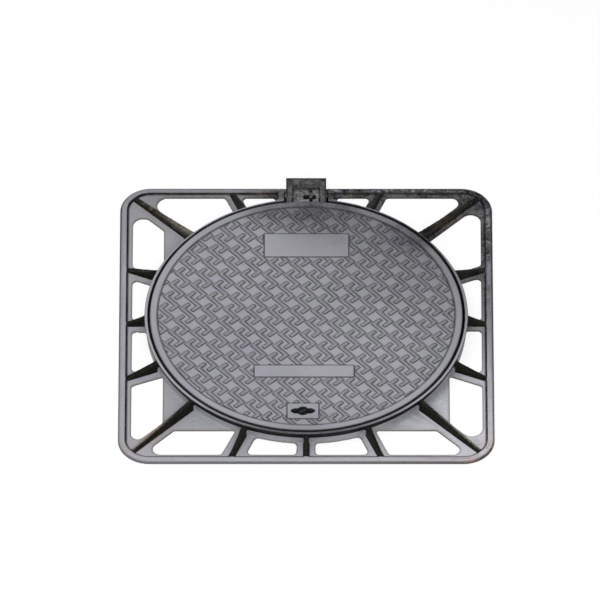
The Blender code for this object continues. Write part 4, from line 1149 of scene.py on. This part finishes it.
# painted light: paler plates at the front right, making up for the ring's cast shadow
point_attribute(frame_body, "painted_fill_light", falloff(co, ((0.350, -0.320, 0.330, 1.0),)) * (zz < 0.0090) * (rr > 0.3470))
# where the painted highlight streaks show: full on the crown of the bead, weaker elsewhere
point_attribute(frame_body, "highlight_zone", np.maximum(0.30, band(ed, (0.0040, 0), (0.0062, 1), (0.0118, 1), (0.0140, 0))))
FRAME_SHADE = ((0.395, 0.400, 0.290, 0.95), (0.400, 0.180, 0.190, 0.84), (0.200, 0.400, 0.200, 0.92), (0.080, 0.400, 0.130, 0.86),
               (-0.080, 0.390, 0.090, 0.70), (-0.230, 0.400, 0.160, 0.55), (0.250, 0.245, 0.130, 0.85), (0.056, 0.360, 0.045, 0.90),
               (-0.056, 0.360, 0.045, 0.85), (0.400, 0.000, 0.160, 0.35), (-0.400, 0.410, 0.170, 0.35))
point_attribute(frame_body, "shade", falloff(co, FRAME_SHADE))
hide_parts("frame_casting")
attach(frame_body, "frame")

box_body = make_hinge_box()
box_body.data.materials.clear()
box_body.data.materials.append(box_paint())
bx = coords(box_body)
point_attribute(box_body, "inner", (np.abs(bx[:, 0]) < 0.0305) * (bx[:, 1] < 0.3900) * band(bx[:, 2], (0.0100, 0), (0.0180, 0.9)))
point_attribute(box_body, "rim", np.maximum(band(bx[:, 1], (BOX_Y1 - 0.0060, 0), (BOX_Y1 - 0.0030, 1)),
                                            band(np.abs(bx[:, 0]), (BOX_HALF - 0.0052, 0), (BOX_HALF - 0.0026, 1))))
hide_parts("hinge_box")
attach(box_body, "frame")

tread = make_tread()
tread.data.materials.clear()
tread.data.materials.append(cover_paint())
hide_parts("cover_casting")
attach(tread, "cover")

body = make_cover_body()
body.name = "cover_body"
body.data.materials.clear()
body.data.materials.append(underside_paint())
bc = coords(body)
# painted shade: the slot between the arms and the keyhole recess
slot_dark = (np.abs(bc[:, 0] - 0.0072) < 0.0137) & (bc[:, 1] > 0.3405) & (bc[:, 1] < 0.3525) & (bc[:, 2] < 0.0350) & (bc[:, 2] > 0.0200)
key_dark = (np.hypot(bc[:, 0] - LOCK_X, (bc[:, 1] - LOCK_Y) * 1.6) < 0.0320) & (bc[:, 2] > 0.0200)
point_attribute(body, "dark", (slot_dark | key_dark).astype(float))
point_attribute(body, "worn", falloff(bc, ((0.0005, 0.3352, 0.0065, 0.9), (0.0190, 0.3352, 0.0055, 0.9), (-0.0200, 0.3365, 0.0040, 0.5)))
                * (bc[:, 2] > 0.0340))
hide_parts("cover_casting")
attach(body, "cover")

zinc = steel("zinc_steel", (0.52, 0.52, 0.53), (0.34, 0.335, 0.33), 0.30, 0.50)
dull = steel("lock_metal", (0.115, 0.115, 0.112), (0.030, 0.030, 0.028), 0.22, 0.48, 0.85)
blued = steel("blued_steel", (0.085, 0.085, 0.085), (0.035, 0.035, 0.034), 0.45, 0.65, 0.3)
lock_steel = steel("lock_black", (0.050, 0.050, 0.049), (0.010, 0.010, 0.010), 0.20, 0.45, 0.85)
pin_mat = steel("pin_steel", (0.46, 0.46, 0.46), (0.24, 0.235, 0.23), 0.26, 0.46, 1.0, (0.15, 1, 1))
rub, nyl = rubber(), nylon()
FINISH = {
    "seat_gasket": rub, "barrel_seal": rub, "thrust_washer_left": nyl, "thrust_washer_right": nyl,
    "hinge_pin": pin_mat, "pin_spacer": blued, "pin_clip_left": dull, "pin_clip_right": dull,
    "hinge_box_screw_left": blued, "hinge_box_screw_right": blued, "lock_barrel": lock_steel, "lock_spindle": lock_steel,
    "wave_spring": zinc, "barrel_nut": zinc, "lock_cam": zinc, "cam_washer": zinc, "cam_screw": zinc}
for name, mat in FINISH.items():
    ob = NODES[name]
    if not ob.material_slots:
        ob.data.materials.append(mat)
    for slot in ob.material_slots:
        slot.material = mat

# ------------------------------------------------------------------ floor, light, camera
bm = bmesh.new()
S = 30.0
bm.faces.new([bm.verts.new(p) for p in ((-S, -S, -0.0003), (S, -S, -0.0003), (S, S, -0.0003), (-S, S, -0.0003))])
floor = new_object("floor", bm)
fm = bpy.data.materials.new("floor_white")
fm.use_nodes = True
t = fm.node_tree
bsdf = t.nodes["Principled BSDF"]
bsdf.inputs["Base Color"].default_value = (0.92, 0.92, 0.92, 1)
bsdf.inputs["Roughness"].default_value = 0.9
bsdf.inputs["Specular IOR Level"].default_value = 0.1
em = t.nodes.new("ShaderNodeEmission")
em.inputs["Color"].default_value = (1, 1, 1, 1)
em.inputs["Strength"].default_value = 1.0
lp = t.nodes.new("ShaderNodeLightPath")
mixer = t.nodes.new("ShaderNodeMixShader")
scale = t.nodes.new("ShaderNodeMath")
scale.operation = "MULTIPLY"
scale.inputs[1].default_value = 0.80
t.links.new(lp.outputs["Is Camera Ray"], scale.inputs[0])
t.links.new(scale.outputs[0], mixer.inputs[0])
t.links.new(bsdf.outputs[0], mixer.inputs[1])
t.links.new(em.outputs[0], mixer.inputs[2])
t.links.new(mixer.outputs[0], t.nodes["Material Output"].inputs["Surface"])
floor.data.materials.append(fm)

scene = bpy.context.scene
world = bpy.data.worlds.new("studio")
scene.world = world
world.use_nodes = True
world.node_tree.nodes["Background"].inputs["Color"].default_value = (1, 1, 1, 1)
world.node_tree.nodes["Background"].inputs["Strength"].default_value = 0.62
scene.view_settings.view_transform = "Standard"
scene.view_settings.look = "None"


def area(name, loc, target, size, power):
    l = bpy.data.lights.new(name, "AREA")
    l.shape = "DISK"
    l.size = size
    l.energy = power
    o = bpy.data.objects.new(name, l)
    o.location = loc
    o.rotation_euler = (Vector(target) - Vector(loc)).to_track_quat("-Z", "Y").to_euler()
    scene.collection.objects.link(o)
    return o


area("key", (-1.0, -0.8, 3.4), (0, 0, 0), 2.6, 60.0)
area("front", (0.4, -3.0, 2.8), (0, 0, 0), 2.6, 62.0)

ELEV = math.radians(47.0)
DIST = 34.0
FRAME_PX = 374.5                       # width of the 800 mm frame in a 600 pixel picture
PX_PER_M = FRAME_PX / (2 * HALF)
cam_data = bpy.data.cameras.new("camera")
cam_data.sensor_width = 36.0
cam_data.lens = 36.0 * DIST * PX_PER_M / 600.0
cam_data.clip_start = 1.0
cam_data.clip_end = 200.0
cam = bpy.data.objects.new("camera", cam_data)
CENTRE_PX = (306.2, 326.4)             # where the frame's centre at ground level falls
right = Vector((1, 0, 0))
forward = Vector((0, math.cos(ELEV), -math.sin(ELEV)))
up = Vector((0, math.sin(ELEV), math.cos(ELEV)))
aim = right * (-(CENTRE_PX[0] - 300.0) / PX_PER_M) + up * ((CENTRE_PX[1] - 300.0) / PX_PER_M)
cam.location = aim - forward * DIST
cam.rotation_euler = forward.to_track_quat("-Z", "Y").to_euler()
scene.collection.objects.link(cam)
scene.camera = cam
